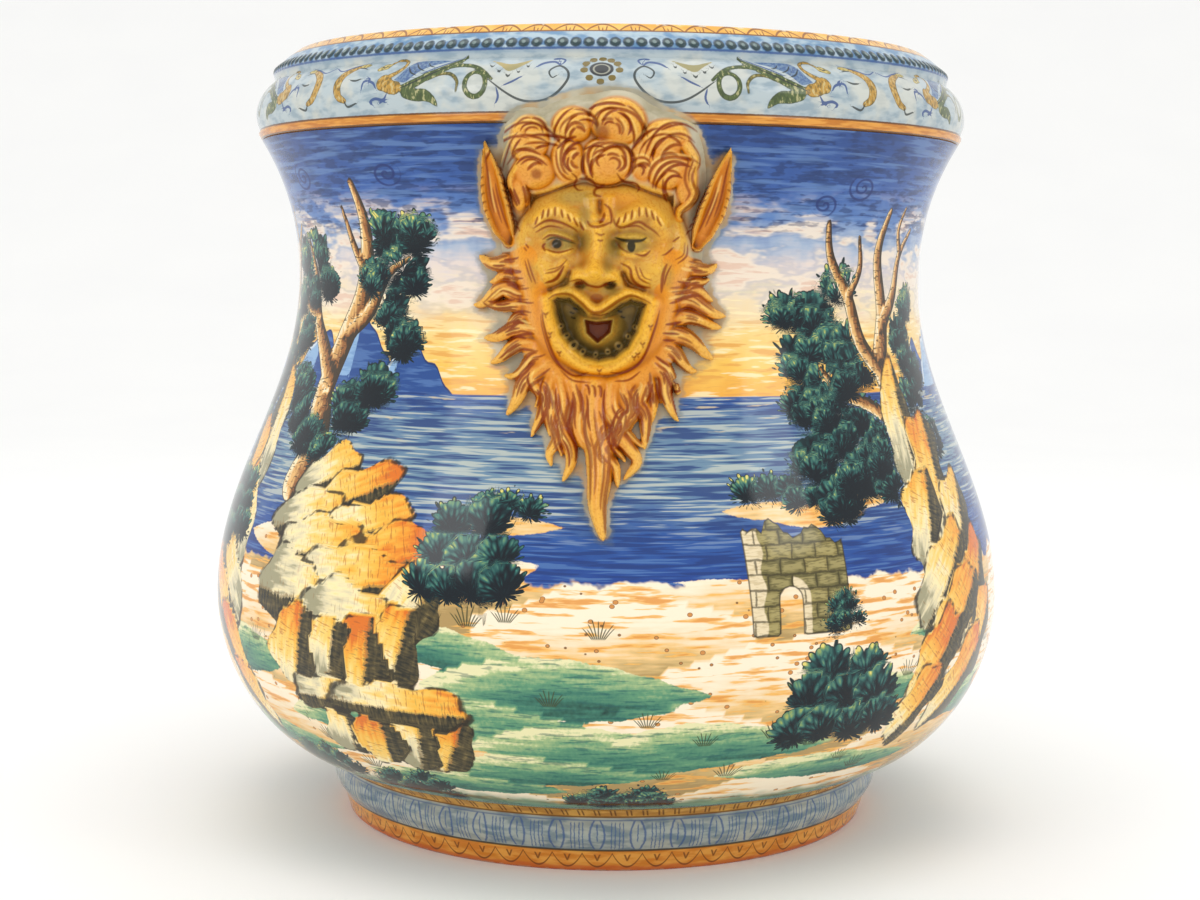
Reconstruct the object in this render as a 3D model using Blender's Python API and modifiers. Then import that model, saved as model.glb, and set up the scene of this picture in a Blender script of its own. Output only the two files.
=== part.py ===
"""Majolica jardiniere: a bulbous pot with a moulded rim collar, a foot ring and two satyr masks.

The pot stands on z = 0 with its axis on Z. One mask faces -Y and the other faces +Y. Every piece is a
separate clay part, as it was thrown or press-moulded before the parts were luted together with slip, and
keeps a joint of one slip line to its neighbour. Lengths are in metres.
"""

import math

import bmesh
import bpy
import numpy as np

# Joint between two clay parts, and the sides of every turned part
SLIP_GAP = 0.0003
TURN_STEPS = 48

# Body shell: belly, waist and neck, measured on the outside
BELLY_RADIUS = 0.1927
BELLY_Z = 0.110
WAIST_RADIUS = 0.1523
WAIST_Z = 0.262
NECK_RADIUS = 0.1695
NECK_Z = 0.3274
NECK_FLARE_POWER = 2.3
SEAT_RADIUS = 0.140
SEAT_Z = 0.0315
UNDERSIDE_POWER = 0.65
BODY_WALL = 0.009
FLOOR_THICKNESS = 0.010
TENON_HEIGHT = 0.006
TENON_THICKNESS = 0.0042

# Rim collar, over the neck that carries it: the rise of each moulding over the neck's top edge, its inset
# from the neck's radius or its swell past it, and from these its height and its radius
LIP_RISE = 0.0426
LIP_INSET = 0.0175
LIP_THICKNESS = 0.0065
LIP_EDGE_ROUND = 0.0022
LIP_BAND_RISE = 0.0388
LIP_BAND_INSET = 0.0120
BEAD_COVE_RISE = 0.0363
BEAD_COVE_INSET = 0.0095
BEAD_RIDGE_RISE = 0.0318
BEAD_RIDGE_INSET = 0.0060
FILLET_RISE = 0.0276
FILLET_INSET = 0.0060
OVOLO_RISE = 0.0121
OVOLO_SWELL = 0.0028
OVOLO_POWER = 0.9
COLLAR_FOOT_RISE = 0.0047
COLLAR_FOOT_SWELL = 0.0015
COLLAR_THROAT_RISE = 0.0176
COLLAR_THROAT_INSET = 0.0105
LIP_Z = NECK_Z + LIP_RISE
LIP_OUTER_RADIUS = NECK_RADIUS - LIP_INSET
LIP_BAND_Z = NECK_Z + LIP_BAND_RISE
LIP_BAND_RADIUS = NECK_RADIUS - LIP_BAND_INSET
BEAD_COVE_Z = NECK_Z + BEAD_COVE_RISE
BEAD_COVE_RADIUS = NECK_RADIUS - BEAD_COVE_INSET
BEAD_RIDGE_Z = NECK_Z + BEAD_RIDGE_RISE
BEAD_RIDGE_RADIUS = NECK_RADIUS - BEAD_RIDGE_INSET
FILLET_Z = NECK_Z + FILLET_RISE
FILLET_RADIUS = NECK_RADIUS - FILLET_INSET
OVOLO_Z = NECK_Z + OVOLO_RISE
OVOLO_RADIUS = NECK_RADIUS + OVOLO_SWELL
COLLAR_FOOT_Z = NECK_Z + COLLAR_FOOT_RISE
COLLAR_FOOT_RADIUS = NECK_RADIUS + COLLAR_FOOT_SWELL
COLLAR_THROAT_Z = NECK_Z + COLLAR_THROAT_RISE
COLLAR_THROAT_RADIUS = NECK_RADIUS - COLLAR_THROAT_INSET

# Foot ring
FOOT_BASE_RADIUS = 0.1284
FOOT_INNER_RADIUS = 0.1145
FOOT_INNER_TOP_RADIUS = 0.1165
FOOT_BAND_RADIUS = 0.1312
FOOT_BAND_Z = 0.0102
FOOT_TORUS_SWELL = 0.0027
FOOT_NECK_RADIUS = 0.1345
FOOT_NECK_Z = 0.0260
FOOT_TOP_RADIUS = 0.1385

# Mask: its drawing's unit, which follows the waist that it sits on, and the grid of each relief
MASK_UNIT = WAIST_RADIUS / 152.3
MASK_GRID = 1.7
MASK_KEEP = 0.125
HIDDEN_RISE = -6
BLOCK_BACK = 30

CLAY = {
    "landscape": ((0.30, 0.45, 0.55, 1.0), 0.18),
    "collar_white": ((0.66, 0.72, 0.72, 1.0), 0.16),
    "foot_ochre": ((0.55, 0.42, 0.22, 1.0), 0.20),
    "mask_ochre": ((0.78, 0.48, 0.12, 1.0), 0.17),
}


def clear_scene():
    for obj in list(bpy.data.objects):
        bpy.data.objects.remove(obj)


def new_collection(name):
    collection = bpy.data.collections.new(name)
    bpy.context.scene.collection.children.link(collection)
    return collection


def glaze(name):
    """A glazed earthenware finish of the given colour and roughness."""
    colour, roughness = CLAY[name]
    material = bpy.data.materials.get(name) or bpy.data.materials.new(name)
    material.use_nodes = True
    shader = material.node_tree.nodes["Principled BSDF"]
    shader.inputs["Base Color"].default_value = colour
    shader.inputs["Roughness"].default_value = roughness
    shader.inputs["Metallic"].default_value = 0.0
    return material


# Profiles: each is a function of height, so that the pieces that touch share it


def body_radius(z):
    """Outer radius of the belly, waist and neck at height z, for a number or an array."""
    z = np.asarray(z, float)
    flare = np.clip((z - WAIST_Z) / (NECK_Z - WAIST_Z), 0, 1) ** NECK_FLARE_POWER
    swell = np.clip((WAIST_Z - z) / (WAIST_Z - BELLY_Z), 0, 1)
    swell = (1 - np.cos(math.pi * swell)) / 2
    under = np.clip((BELLY_Z - z) / (BELLY_Z - SEAT_Z), 0, 1)
    under = (1 - under**2) ** UNDERSIDE_POWER
    above_waist = WAIST_RADIUS + (NECK_RADIUS - WAIST_RADIUS) * flare
    below_waist = WAIST_RADIUS + (BELLY_RADIUS - WAIST_RADIUS) * swell
    below_belly = SEAT_RADIUS + (BELLY_RADIUS - SEAT_RADIUS) * under
    return np.where(z > WAIST_Z, above_waist, np.where(z > BELLY_Z, below_waist, below_belly))


def ovolo_radius(z):
    """Outer radius of the collar's rounded moulding, between its foot and the fillet."""
    drop = np.clip(abs(z - OVOLO_Z) / (FILLET_Z - OVOLO_Z), 0, 1)
    return FILLET_RADIUS + (OVOLO_RADIUS - FILLET_RADIUS) * (1 - drop**2) ** OVOLO_POWER


def spread(start, end, count):
    """Heights from start to end, both included."""
    return [start + (end - start) * i / (count - 1) for i in range(count)]


def body_outside():
    """The body's outer side, from the neck down to its seat on the foot ring."""
    outside = [(float(body_radius(z)), z) for z in spread(NECK_Z, WAIST_Z, 5)]
    outside += [(float(body_radius(z)), z) for z in spread(WAIST_Z, BELLY_Z, 9)[1:]]
    return outside + [(float(body_radius(z)), z) for z in under_heights()]


def body_outline():
    inner_top = NECK_RADIUS - BODY_WALL
    shoulder = inner_top + TENON_THICKNESS
    floor_top = SEAT_Z + FLOOR_THICKNESS
    inside = [(float(body_radius(z)) - BODY_WALL, z) for z in spread(floor_top, NECK_Z, 9)]
    tenon = [
        (inner_top, NECK_Z + TENON_HEIGHT),
        (shoulder, NECK_Z + TENON_HEIGHT),
        (shoulder, NECK_Z),
    ]
    return [(0, floor_top)] + inside + tenon + body_outside() + [(0, SEAT_Z)]


def under_heights():
    """Heights below the belly, closer together where the wall turns in."""
    return [BELLY_Z - (BELLY_Z - SEAT_Z) * math.sin(math.pi / 2 * i / 6) for i in range(1, 7)]


def collar_outside():
    """The collar's outer side, from the lip down to its joint with the neck."""
    outside = [
        (LIP_OUTER_RADIUS - LIP_EDGE_ROUND, LIP_Z),
        (LIP_OUTER_RADIUS + LIP_EDGE_ROUND, LIP_Z - LIP_EDGE_ROUND / 2),
        (LIP_BAND_RADIUS, LIP_BAND_Z),
        (BEAD_COVE_RADIUS, BEAD_COVE_Z),
        (BEAD_RIDGE_RADIUS, BEAD_RIDGE_Z),
        (FILLET_RADIUS, FILLET_Z),
    ]
    outside += [(float(ovolo_radius(z)), z) for z in spread(FILLET_Z, COLLAR_FOOT_Z, 7)[1:-1]]
    return outside + [(COLLAR_FOOT_RADIUS, COLLAR_FOOT_Z), (NECK_RADIUS, NECK_Z + SLIP_GAP)]


def collar_outline():
    bottom = NECK_Z + SLIP_GAP
    inner = NECK_RADIUS - BODY_WALL
    rebate = inner + TENON_THICKNESS + SLIP_GAP
    mouth = LIP_OUTER_RADIUS - LIP_THICKNESS
    inside = [
        (rebate, bottom),
        (rebate, bottom + TENON_HEIGHT),
        (inner, bottom + TENON_HEIGHT),
        (COLLAR_THROAT_RADIUS, COLLAR_THROAT_Z),
        (mouth + LIP_EDGE_ROUND, BEAD_RIDGE_Z),
        (mouth, LIP_BAND_Z),
        (mouth + LIP_EDGE_ROUND, LIP_Z),
    ]
    return collar_outside() + inside


def foot_outline():
    top = SEAT_Z - SLIP_GAP
    torus = []
    for i in range(1, 6):
        share = i / 6
        z = FOOT_NECK_Z + (FOOT_BAND_Z - FOOT_NECK_Z) * share
        base = FOOT_NECK_RADIUS + (FOOT_BAND_RADIUS - FOOT_NECK_RADIUS) * share
        torus.append((base + FOOT_TORUS_SWELL * math.sin(math.pi * share), z))
    outside = [(FOOT_TOP_RADIUS, top), (FOOT_NECK_RADIUS, FOOT_NECK_Z)] + torus
    outside += [(FOOT_BAND_RADIUS, FOOT_BAND_Z), (FOOT_BASE_RADIUS, 0)]
    return outside + [(FOOT_INNER_RADIUS, 0), (FOOT_INNER_TOP_RADIUS, top)]


# Mask drawing, in its own units from the middle of the face, which lies on the waist: x right, z up

FACE_DOME_HALF_WIDTH = 41
FACE_DOME_HALF_HEIGHT = 52
FACE_DOME_RISE = 21

FACE_EDGE = [
    (0, 39.5), (10, 40.5), (21, 42), (30, 37), (35.5, 25), (36.5, 12), (35, 1), (31.5, -9),
    (28.5, -18), (25.5, -27), (19.5, -34.5), (10.5, -38.8), (0, -40),
]
BEARD_BORDER = [(20, -28), (34, -62), (40, -120), (-40, -120), (-34, -62), (-20, -28)]

# A curl is its middle, its radius and its rise over the scalp
CURLS = [
    (-28.5, 57, 10.5, 6.0), (-31, 45, 8.0, 5.5), (-33.5, 36, 4.0, 3.5),
    (-12, 62, 9.0, 6.0), (6, 64, 12.0, 7.5), (-11.5, 48, 9.5, 6.5), (3.5, 48.5, 10.5, 7.5),
    (18, 53, 8.0, 5.0), (28.5, 57, 11.0, 6.5), (32, 44.5, 8.0, 5.5), (35.5, 34, 4.4, 3.5),
]
SCALP = (0, 52, 39, 23)

# A lock is the line that it follows, its half width at the root and its rise over the wall
LEFT_WHISKERS = [
    ([(-33, 7), (-31.5, -8), (-28.5, -20), (-24, -32)], 4.6, 8.5),
    ([(-27, 1), (-36, 2), (-44, 8), (-53, 12.5)], 5.0, 8.0),
    ([(-27, -9), (-36, -8), (-44, -5.5), (-55, -8)], 5.2, 8.5),
    ([(-26, -15), (-34, -15), (-41, -19)], 4.4, 7.0),
    ([(-24, -22), (-33, -21), (-41, -20), (-50, -23)], 4.4, 8.0),
    ([(-23, -27), (-31, -28), (-38, -30), (-47, -34)], 4.2, 7.5),
    ([(-22, -32), (-28.5, -38), (-32, -46), (-38.8, -55)], 4.6, 8.0),
]
RIGHT_WHISKERS = [
    ([(33.5, 7), (31.5, -8), (28.5, -20), (24, -32)], 4.6, 8.5),
    ([(27, 3), (37, 1), (44, 4), (50, 9)], 4.8, 8.0),
    ([(27, -3), (36, -4), (42, -1.5), (47, 1.5)], 4.2, 7.0),
    ([(26, -9), (36, -8), (44, -8.5), (53, -13)], 5.0, 8.5),
    ([(25, -15), (35, -14.5), (43, -17), (51.5, -18)], 4.4, 7.5),
    ([(24, -22), (33, -23), (41, -27), (48, -31)], 4.6, 8.0),
    ([(23, -27), (30, -29.5), (36, -34.5), (41.5, -35.5)], 4.0, 7.0),
    ([(22, -32), (27.5, -38), (30, -47), (33.5, -57)], 4.4, 7.5),
]
BEARD_LOCKS = [
    ([(-24, -30), (-13, -38), (0, -41), (13, -38), (24, -30)], 6.5, 8.5),
    ([(-19, -33), (-24, -44), (-22.5, -54), (-27, -66)], 4.6, 7.5),
    ([(-14, -38), (-17.5, -50), (-15, -62), (-19, -77)], 4.8, 9.0),
    ([(-9, -40), (-10.5, -55), (-8, -68), (-13, -83)], 5.0, 10.0),
    ([(-3, -40), (-4, -58), (0, -74), (-2, -88), (2.5, -105)], 7.0, 11.5),
    ([(5, -40), (6.5, -56), (4.5, -70), (8.5, -82), (6.5, -92)], 5.2, 10.0),
    ([(10, -39), (13.5, -52), (11, -64), (15, -75), (12.5, -82)], 4.8, 9.0),
    ([(17, -36), (20, -47), (17, -58), (18.5, -69)], 4.6, 7.5),
]
LEFT_EAR = ([(-40.5, 19), (-45, 28), (-47, 40), (-48.6, 58)], 5.3, 11.0)
RIGHT_EAR = ([(41, 18), (46.5, 27), (50, 40), (53.8, 56)], 5.4, 11.0)
EAR_HOLLOW = 4.5

# A ridge is the line that it follows, its half width and its height, and a hollow has a height below zero
FACE_RIDGES = [
    ([(-29, 26), (-21, 31.5), (-13, 28.5), (-6, 22.5)], 4.6, 5.0),
    ([(6, 22.5), (13, 28.5), (21, 31.5), (28, 25)], 4.6, 5.0),
    ([(-5, 33), (-1, 24), (4, 33)], 4.0, 2.6),
    ([(0, 24), (-0.5, 14), (-1, 6)], 4.2, 5.5),
    ([(-24, 19), (-17, 21), (-10, 16)], 1.9, 1.8),
    ([(-23.5, 13), (-17, 10.5), (-10, 13.5)], 2.0, 1.8),
    ([(8, 16), (14, 21), (21, 19)], 1.9, 1.8),
    ([(8, 13.5), (14, 10.5), (21, 13)], 2.0, 1.8),
    ([(-12, 8), (-18, 2), (-25, -1)], 4.5, 4.2),
    ([(10, 8), (16, 2), (23, -1)], 4.5, 4.2),
    ([(-10, 7), (-14.5, 0), (-20.5, -6)], 1.8, -2.6),
    ([(8.5, 7), (13.5, 0), (19, -6)], 1.8, -2.6),
    ([(-22, -7), (-13.5, -3.5), (-1, -10), (13, -3.5), (21, -7)], 3.0, 4.0),
    ([(-25, -10), (-23, -22), (-14, -33), (0, -37), (14, -33), (23, -22), (25, -10)], 3.4, 5.0),
]
# A swelling is its middle, its two radii and its height
FACE_SWELLINGS = [
    (-2, 3.0, 7.0, 5.5, 11.0), (-10.5, 1.0, 4.2, 3.8, 6.0), (8.0, 1.0, 4.2, 3.8, 6.0),
    (-6, -2.6, 2.4, 1.6, -3.5), (4, -2.6, 2.4, 1.6, -3.5), (-17, 16, 6.0, 3.0, 2.2),
    (14, 16, 6.0, 3.0, 2.2), (-9, 15, 3.0, 4.5, -3.2), (7, 15, 3.0, 4.5, -3.2),
    (-14, 37, 11, 6, 2.0), (13, 37, 11, 6, 2.0),
    (-27, 11, 6, 9, 2.5), (26, 11, 6, 9, 2.5),
]
MOUTH = [(-20, -10), (-11, -7), (-1, -13.5), (10.5, -7), (19.5, -10), (17.5, -20), (10, -29), (-0.5, -33),
         (-11, -29), (-18, -20)]
MOUTH_DEPTH = 10.0
TONGUE = (-0.5, -19.5, 6.5, 7.0, 3.0)


def smooth_line(points, steps=6):
    """Points on a smooth curve through the given ones."""
    p = np.array(points, float)
    p = np.vstack([2 * p[0] - p[1], p, 2 * p[-1] - p[-2]])
    line = []
    for a, b, c, d in zip(p[:-3], p[1:-2], p[2:-1], p[3:]):
        for t in np.arange(steps) / steps:
            bend = 2 * a - 5 * b + 4 * c - d
            twist = 3 * b - a - 3 * c + d
            line.append(0.5 * (2 * b + (c - a) * t + bend * t**2 + twist * t**3))
    return np.array(line + [p[-2]])


def nearest_on_line(x, z, line):
    """Distance from each point to a line, and how far along the line it lies, from 0 to 1."""
    steps = np.diff(line, axis=0)
    lengths = np.hypot(steps[:, 0], steps[:, 1])
    starts = np.concatenate([[0], np.cumsum(lengths)])
    distance = np.full(x.shape, np.inf)
    share = np.zeros(x.shape)
    for start, step, length, before in zip(line, steps, lengths, starts):
        t = np.clip(((x - start[0]) * step[0] + (z - start[1]) * step[1]) / length**2, 0, 1)
        away = np.hypot(x - start[0] - t * step[0], z - start[1] - t * step[1])
        nearer = away < distance
        distance = np.where(nearer, away, distance)
        share = np.where(nearer, (before + t * length) / starts[-1], share)
    return distance, share


def smooth_max(a, b, width):
    mix = np.clip(0.5 + 0.5 * (a - b) / width, 0, 1)
    return b + (a - b) * mix + width * mix * (1 - mix)


def lock_rise(x, z, lock, tip=0.12):
    """Rise of one lock over the wall: round across, and tapered to its tip."""
    line, half_width, rise = lock
    distance, share = nearest_on_line(x, z, smooth_line(line))
    taper = tip + (1 - tip) * (1 - share) ** 0.6
    across = 1 - (distance / (half_width * taper)) ** 2
    body = rise * (0.35 + 0.65 * taper) * np.sqrt(np.clip(across, 0, None))
    return np.where(across > 0, body, np.maximum(across * 4, -12))


def locks_rise(x, z, locks):
    """The first lock is the root band, which keeps its width, and the others taper."""
    line, half_width, rise = locks[0]
    distance, _ = nearest_on_line(x, z, smooth_line(line))
    across = 1 - (distance / half_width) ** 2
    total = np.where(across > 0, rise * np.sqrt(np.clip(across, 0, None)), np.maximum(across * 4, -12))
    for lock in locks[1:]:
        total = smooth_max(total, lock_rise(x, z, lock), 1.0)
    return total


def ear_rise(x, z, ear):
    line, half_width, rise = ear
    distance, share = nearest_on_line(x, z, smooth_line(line))
    taper = np.clip(np.minimum(0.55 + 1.6 * share, 1.5 * (1.06 - share) ** 0.8), 0.08, 1.0)
    across = 1 - (distance / (half_width * taper)) ** 2
    shell = rise * (1 - 0.35 * share) * np.clip(across, 0, None) ** 0.4
    hollow = EAR_HOLLOW * np.exp(-((distance / (0.45 * half_width * taper)) ** 2)) * (share > 0.08)
    return np.where(across > 0, shell - hollow, np.maximum(across * 4, -12))


def hair_rise(x, z):
    mid_x, mid_z, half_width, half_height = SCALP
    inside = 1 - ((x - mid_x) / half_width) ** 2 - ((z - mid_z) / half_height) ** 2
    scalp = np.where(inside > 0, 7.5 * np.clip(inside, 0, None) ** 0.35, np.maximum(inside * 8, -12))
    total = scalp
    for mid_x, mid_z, radius, rise in CURLS:
        inside = 1 - np.hypot(x - mid_x, z - mid_z) ** 2 / radius**2
        ball = np.where(inside > 0, 6.5 + rise * np.sqrt(np.clip(inside, 0, None)), inside * 12)
        total = smooth_max(total, np.maximum(ball, -12), 0.8)
    return total


def inside_distance(x, z, outline):
    """How far a point lies inside a closed outline, and below zero outside."""
    line = np.vstack([outline, outline[:1]])
    distance, _ = nearest_on_line(x, z, line)
    inside = np.zeros(x.shape, bool)
    for (ax, az), (bx, bz) in zip(line[:-1], line[1:]):
        crosses = (az > z) != (bz > z)
        inside ^= crosses & (x < ax + (z - az) * (bx - ax) / (bz - az if bz != az else 1))
    return np.where(inside, distance, -distance)


def face_rise(x, z):
    """Rise of the face over the waist's radius."""
    dome = 1 - (x / FACE_DOME_HALF_WIDTH) ** 2 - (z / FACE_DOME_HALF_HEIGHT) ** 2
    rise = FACE_DOME_RISE * np.sqrt(np.clip(dome, 0.02, None))
    for line, half_width, height in FACE_RIDGES:
        distance, share = nearest_on_line(x, z, smooth_line(line))
        ends = np.clip(4 * np.minimum(share, 1 - share) + 0.35, 0, 1)
        rise = rise + height * ends * np.exp(-((distance / (0.75 * half_width)) ** 2))
    for mid_x, mid_z, wide, high, height in FACE_SWELLINGS:
        rise = rise + height * np.exp(-(((x - mid_x) / wide) ** 2) - ((z - mid_z) / high) ** 2)
    mouth = np.clip(inside_distance(x, z, np.array(MOUTH, float)) / 4, 0, 1)
    rise = rise - MOUTH_DEPTH * mouth * mouth * (3 - 2 * mouth)
    mid_x, mid_z, wide, high, height = TONGUE
    return rise + height * mouth * np.exp(-((((x - mid_x) / wide) ** 2 + ((z - mid_z) / high) ** 2) ** 2))


def wall_radius(z):
    """Outer radius of the pot behind the mask, over the body and the collar."""
    collar = np.where(z > COLLAR_FOOT_Z, ovolo_radius(z), np.maximum(COLLAR_FOOT_RADIUS, NECK_RADIUS))
    return np.where(z > NECK_Z, collar, body_radius(z))


def wall_depth(x, z):
    return np.sqrt(np.clip(wall_radius(z) ** 2 - x**2, WAIST_RADIUS**2 / 4, None))


def face_front(x, z):
    return WAIST_RADIUS + face_rise(x / MASK_UNIT, (z - WAIST_Z) / MASK_UNIT) * MASK_UNIT


def front_over_wall(rise):
    """A front that stands over the wall by rise, which is drawn in the mask's units."""
    return lambda x, z: wall_depth(x, z) + rise(x / MASK_UNIT, (z - WAIST_Z) / MASK_UNIT) * MASK_UNIT


# Solids


def as_object(name, mesh, collection):
    obj = bpy.data.objects.new(name, mesh)
    collection.objects.link(obj)
    return obj


def turned(name, outline, collection, closed):
    """A ring or bowl turned from its outline, whose outer side runs down."""
    mesh = bpy.data.meshes.new(name)
    edges = [(i, i + 1) for i in range(len(outline) - 1)]
    if closed:
        edges.append((len(outline) - 1, 0))
    mesh.from_pydata([(r, 0, z) for r, z in outline], edges, [])
    obj = as_object(name, mesh, collection)
    screw = obj.modifiers.new("turn", "SCREW")
    screw.steps = screw.render_steps = TURN_STEPS
    screw.use_merge_vertices = True
    screw.merge_threshold = 0.00001
    return obj


def evaluated_mesh(obj, name):
    graph = bpy.context.evaluated_depsgraph_get()
    mesh = bpy.data.meshes.new_from_object(obj.evaluated_get(graph))
    mesh.name = name
    return mesh


def finish(obj, clay):
    obj.data.materials.clear()
    obj.data.materials.append(glaze(clay))
    if not obj.modifiers:
        obj.data.shade_smooth()
        obj.data.set_sharp_from_angle(angle=math.radians(50))
    return obj


def wall_cutter(collection):
    """The pot's outer shape, one slip line larger, which hollows the back of each part of the mask."""
    grown = [(r + SLIP_GAP, z) for r, z in collar_outside() + body_outside()]
    outline = [(0, LIP_Z)] + grown + [(0, SEAT_Z)]
    cutter = turned("wall_cutter", outline, collection, False)
    return hide(cutter)


def hide(cutter):
    cutter.hide_render = True
    cutter.display_type = "WIRE"
    return cutter


def outline_cutter(name, points, grow, collection):
    """A prism through the mask along Y, from an outline in the mask's drawing grown by a length."""
    curve = bpy.data.curves.new(name, "CURVE")
    curve.dimensions = "2D"
    curve.fill_mode = "BOTH"
    curve.extrude = BELLY_RADIUS
    spline = curve.splines.new("POLY")
    points = np.array(points, float) * MASK_UNIT
    ahead = np.roll(points, -1, axis=0) - np.roll(points, 1, axis=0)
    normal = np.stack([ahead[:, 1], -ahead[:, 0]], axis=1)
    normal /= np.linalg.norm(normal, axis=1)[:, None]
    turn = np.sum(points[:, 0] * np.roll(points[:, 1], -1) - np.roll(points[:, 0], -1) * points[:, 1])
    points = points + normal * grow * (1 if turn > 0 else -1)
    spline.points.add(len(points) - 1)
    for point, (x, z) in zip(spline.points, points):
        point.co = (x, z, 0, 1)
    spline.use_cyclic_u = True
    flat = as_object(name + "_curve", curve, collection)
    flat.rotation_euler = (math.pi / 2, 0, 0)
    flat.location = (0, -BELLY_RADIUS, WAIST_Z)
    bpy.context.view_layer.update()
    mesh = evaluated_mesh(flat, name)
    mesh.transform(flat.matrix_world)
    bpy.data.objects.remove(flat)
    shape = bmesh.new()
    shape.from_mesh(mesh)
    bmesh.ops.remove_doubles(shape, verts=shape.verts, dist=0.00001)
    bmesh.ops.recalc_face_normals(shape, faces=shape.faces)
    shape.to_mesh(mesh)
    shape.free()
    return hide(as_object(name, mesh, collection))


def mirrored_outline(half):
    return [tuple(p) for p in half] + [(-x, z) for x, z in half[::-1] if x > 0]


def relief_block(name, front, box, collection):
    """A block whose front face is modelled as a relief, and whose back lies inside the pot."""
    low_x, high_x, low_z, high_z = box
    across = round((high_x - low_x) / MASK_GRID)
    up = round((high_z - low_z) / MASK_GRID)
    bpy.ops.mesh.primitive_grid_add(x_subdivisions=across, y_subdivisions=up, size=1)
    grid = bpy.context.object
    mesh = grid.data
    x = np.array([v.co.x for v in mesh.vertices])
    z = np.array([v.co.y for v in mesh.vertices])
    x = (low_x + (x + 0.5) * (high_x - low_x)) * MASK_UNIT
    z = (low_z + (z + 0.5) * (high_z - low_z)) * MASK_UNIT + WAIST_Z
    depth = np.maximum(front(x, z), wall_depth(x, z) + HIDDEN_RISE * MASK_UNIT)
    for vertex, vx, vz, vy in zip(mesh.vertices, x, z, depth):
        vertex.co = (vx, -vy, vz)
    shape = bmesh.new()
    shape.from_mesh(mesh)
    rim = [e for e in shape.edges if e.is_boundary]
    back = bmesh.ops.extrude_edge_only(shape, edges=rim)["geom"]
    for vertex in (g for g in back if isinstance(g, bmesh.types.BMVert)):
        vertex.co.y = BLOCK_BACK * MASK_UNIT - WAIST_RADIUS
    bmesh.ops.holes_fill(shape, edges=[e for e in shape.edges if e.is_boundary])
    bmesh.ops.recalc_face_normals(shape, faces=shape.faces)
    bmesh.ops.triangulate(shape, faces=shape.faces)
    shape.to_mesh(mesh)
    shape.free()
    bpy.data.objects.remove(grid)
    return as_object(name, mesh, collection)


def cut(obj, cutter, operation):
    boolean = obj.modifiers.new(cutter.name, "BOOLEAN")
    boolean.object = cutter
    boolean.operation = operation


def relief_piece(name, front, box, cuts, collection):
    """One part of a mask: a relief block with few faces, trimmed to its outline and seated on the wall."""
    block = relief_block(name + "_block", front, box, collection)
    thin = block.modifiers.new("thin", "DECIMATE")
    thin.ratio = MASK_KEEP
    for cutter, operation in cuts:
        cut(block, cutter, operation)
    bpy.context.view_layer.update()
    mesh = evaluated_mesh(block, name)
    bpy.data.objects.remove(block)
    return largest_body(mesh)


def largest_body(mesh):
    """Drops crumbs that a cut leaves beside the part."""
    shape = bmesh.new()
    shape.from_mesh(mesh)
    left = set(shape.verts)
    bodies = []
    while left:
        body, front = set(), [left.pop()]
        while front:
            vertex = front.pop()
            body.add(vertex)
            for edge in vertex.link_edges:
                other = edge.other_vert(vertex)
                if other in left:
                    left.remove(other)
                    front.append(other)
        bodies.append(body)
    bodies.sort(key=len)
    crumbs = [v for body in bodies[:-1] for v in body]
    bmesh.ops.delete(shape, geom=crumbs, context="VERTS")
    shape.to_mesh(mesh)
    shape.free()
    return mesh


def mask_meshes(cutters):
    """The seven parts of one mask, facing -Y."""
    wall = wall_cutter(cutters)
    edge = mirrored_outline(FACE_EDGE)
    face_inner = outline_cutter("face_edge", edge, -SLIP_GAP / 2, cutters)
    face_outer = outline_cutter("face_edge_grown", edge, SLIP_GAP / 2, cutters)
    beard_inner = outline_cutter("beard_border", BEARD_BORDER, -SLIP_GAP / 2, cutters)
    beard_outer = outline_cutter("beard_border_grown", BEARD_BORDER, SLIP_GAP / 2, cutters)
    seat = (wall, "DIFFERENCE")
    beside_face = [(face_outer, "DIFFERENCE"), seat]
    beside_beard = [(face_outer, "DIFFERENCE"), (beard_outer, "DIFFERENCE"), seat]
    drawn = {
        "face": (face_front, (-39, 39, -42, 45), [(face_inner, "INTERSECT"), seat]),
        "hair": (front_over_wall(hair_rise), (-42, 42, 27, 79), beside_face),
        "beard": (
            front_over_wall(lambda x, z: locks_rise(x, z, BEARD_LOCKS)),
            (-31, 25, -108, -26),
            [(face_outer, "DIFFERENCE"), (beard_inner, "INTERSECT"), seat],
        ),
        "whiskers_left": (
            front_over_wall(lambda x, z: locks_rise(x, z, LEFT_WHISKERS)),
            (-58, -19, -60, 17),
            beside_beard,
        ),
        "whiskers_right": (
            front_over_wall(lambda x, z: locks_rise(x, z, RIGHT_WHISKERS)),
            (19, 56, -62, 17),
            beside_beard,
        ),
        "ear_left": (
            front_over_wall(lambda x, z: ear_rise(x, z, LEFT_EAR)),
            (-55, -32, 10, 62),
            beside_face,
        ),
        "ear_right": (
            front_over_wall(lambda x, z: ear_rise(x, z, RIGHT_EAR)),
            (33, 60, 9, 60),
            beside_face,
        ),
    }
    return {name: relief_piece(name, *args, cutters) for name, args in drawn.items()}


def build():
    clear_scene()
    pot = new_collection("majolica_jardiniere")
    cutters = new_collection("cutters")
    finish(turned("body_shell", body_outline(), pot, False), "landscape")
    finish(turned("rim_collar", collar_outline(), pot, True), "collar_white")
    finish(turned("foot_ring", foot_outline(), pot, True), "foot_ochre")
    meshes = mask_meshes(cutters)
    for side, turn in (("front", 0), ("back", math.pi)):
        seat = bpy.data.objects.new(f"mask_{side}", None)
        seat.rotation_euler = (0, 0, turn)
        pot.objects.link(seat)
        for part, mesh in meshes.items():
            obj = as_object(f"mask_{side}_{part}", mesh, pot)
            obj.parent = seat
            finish(obj, "mask_ochre")


build()
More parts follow.
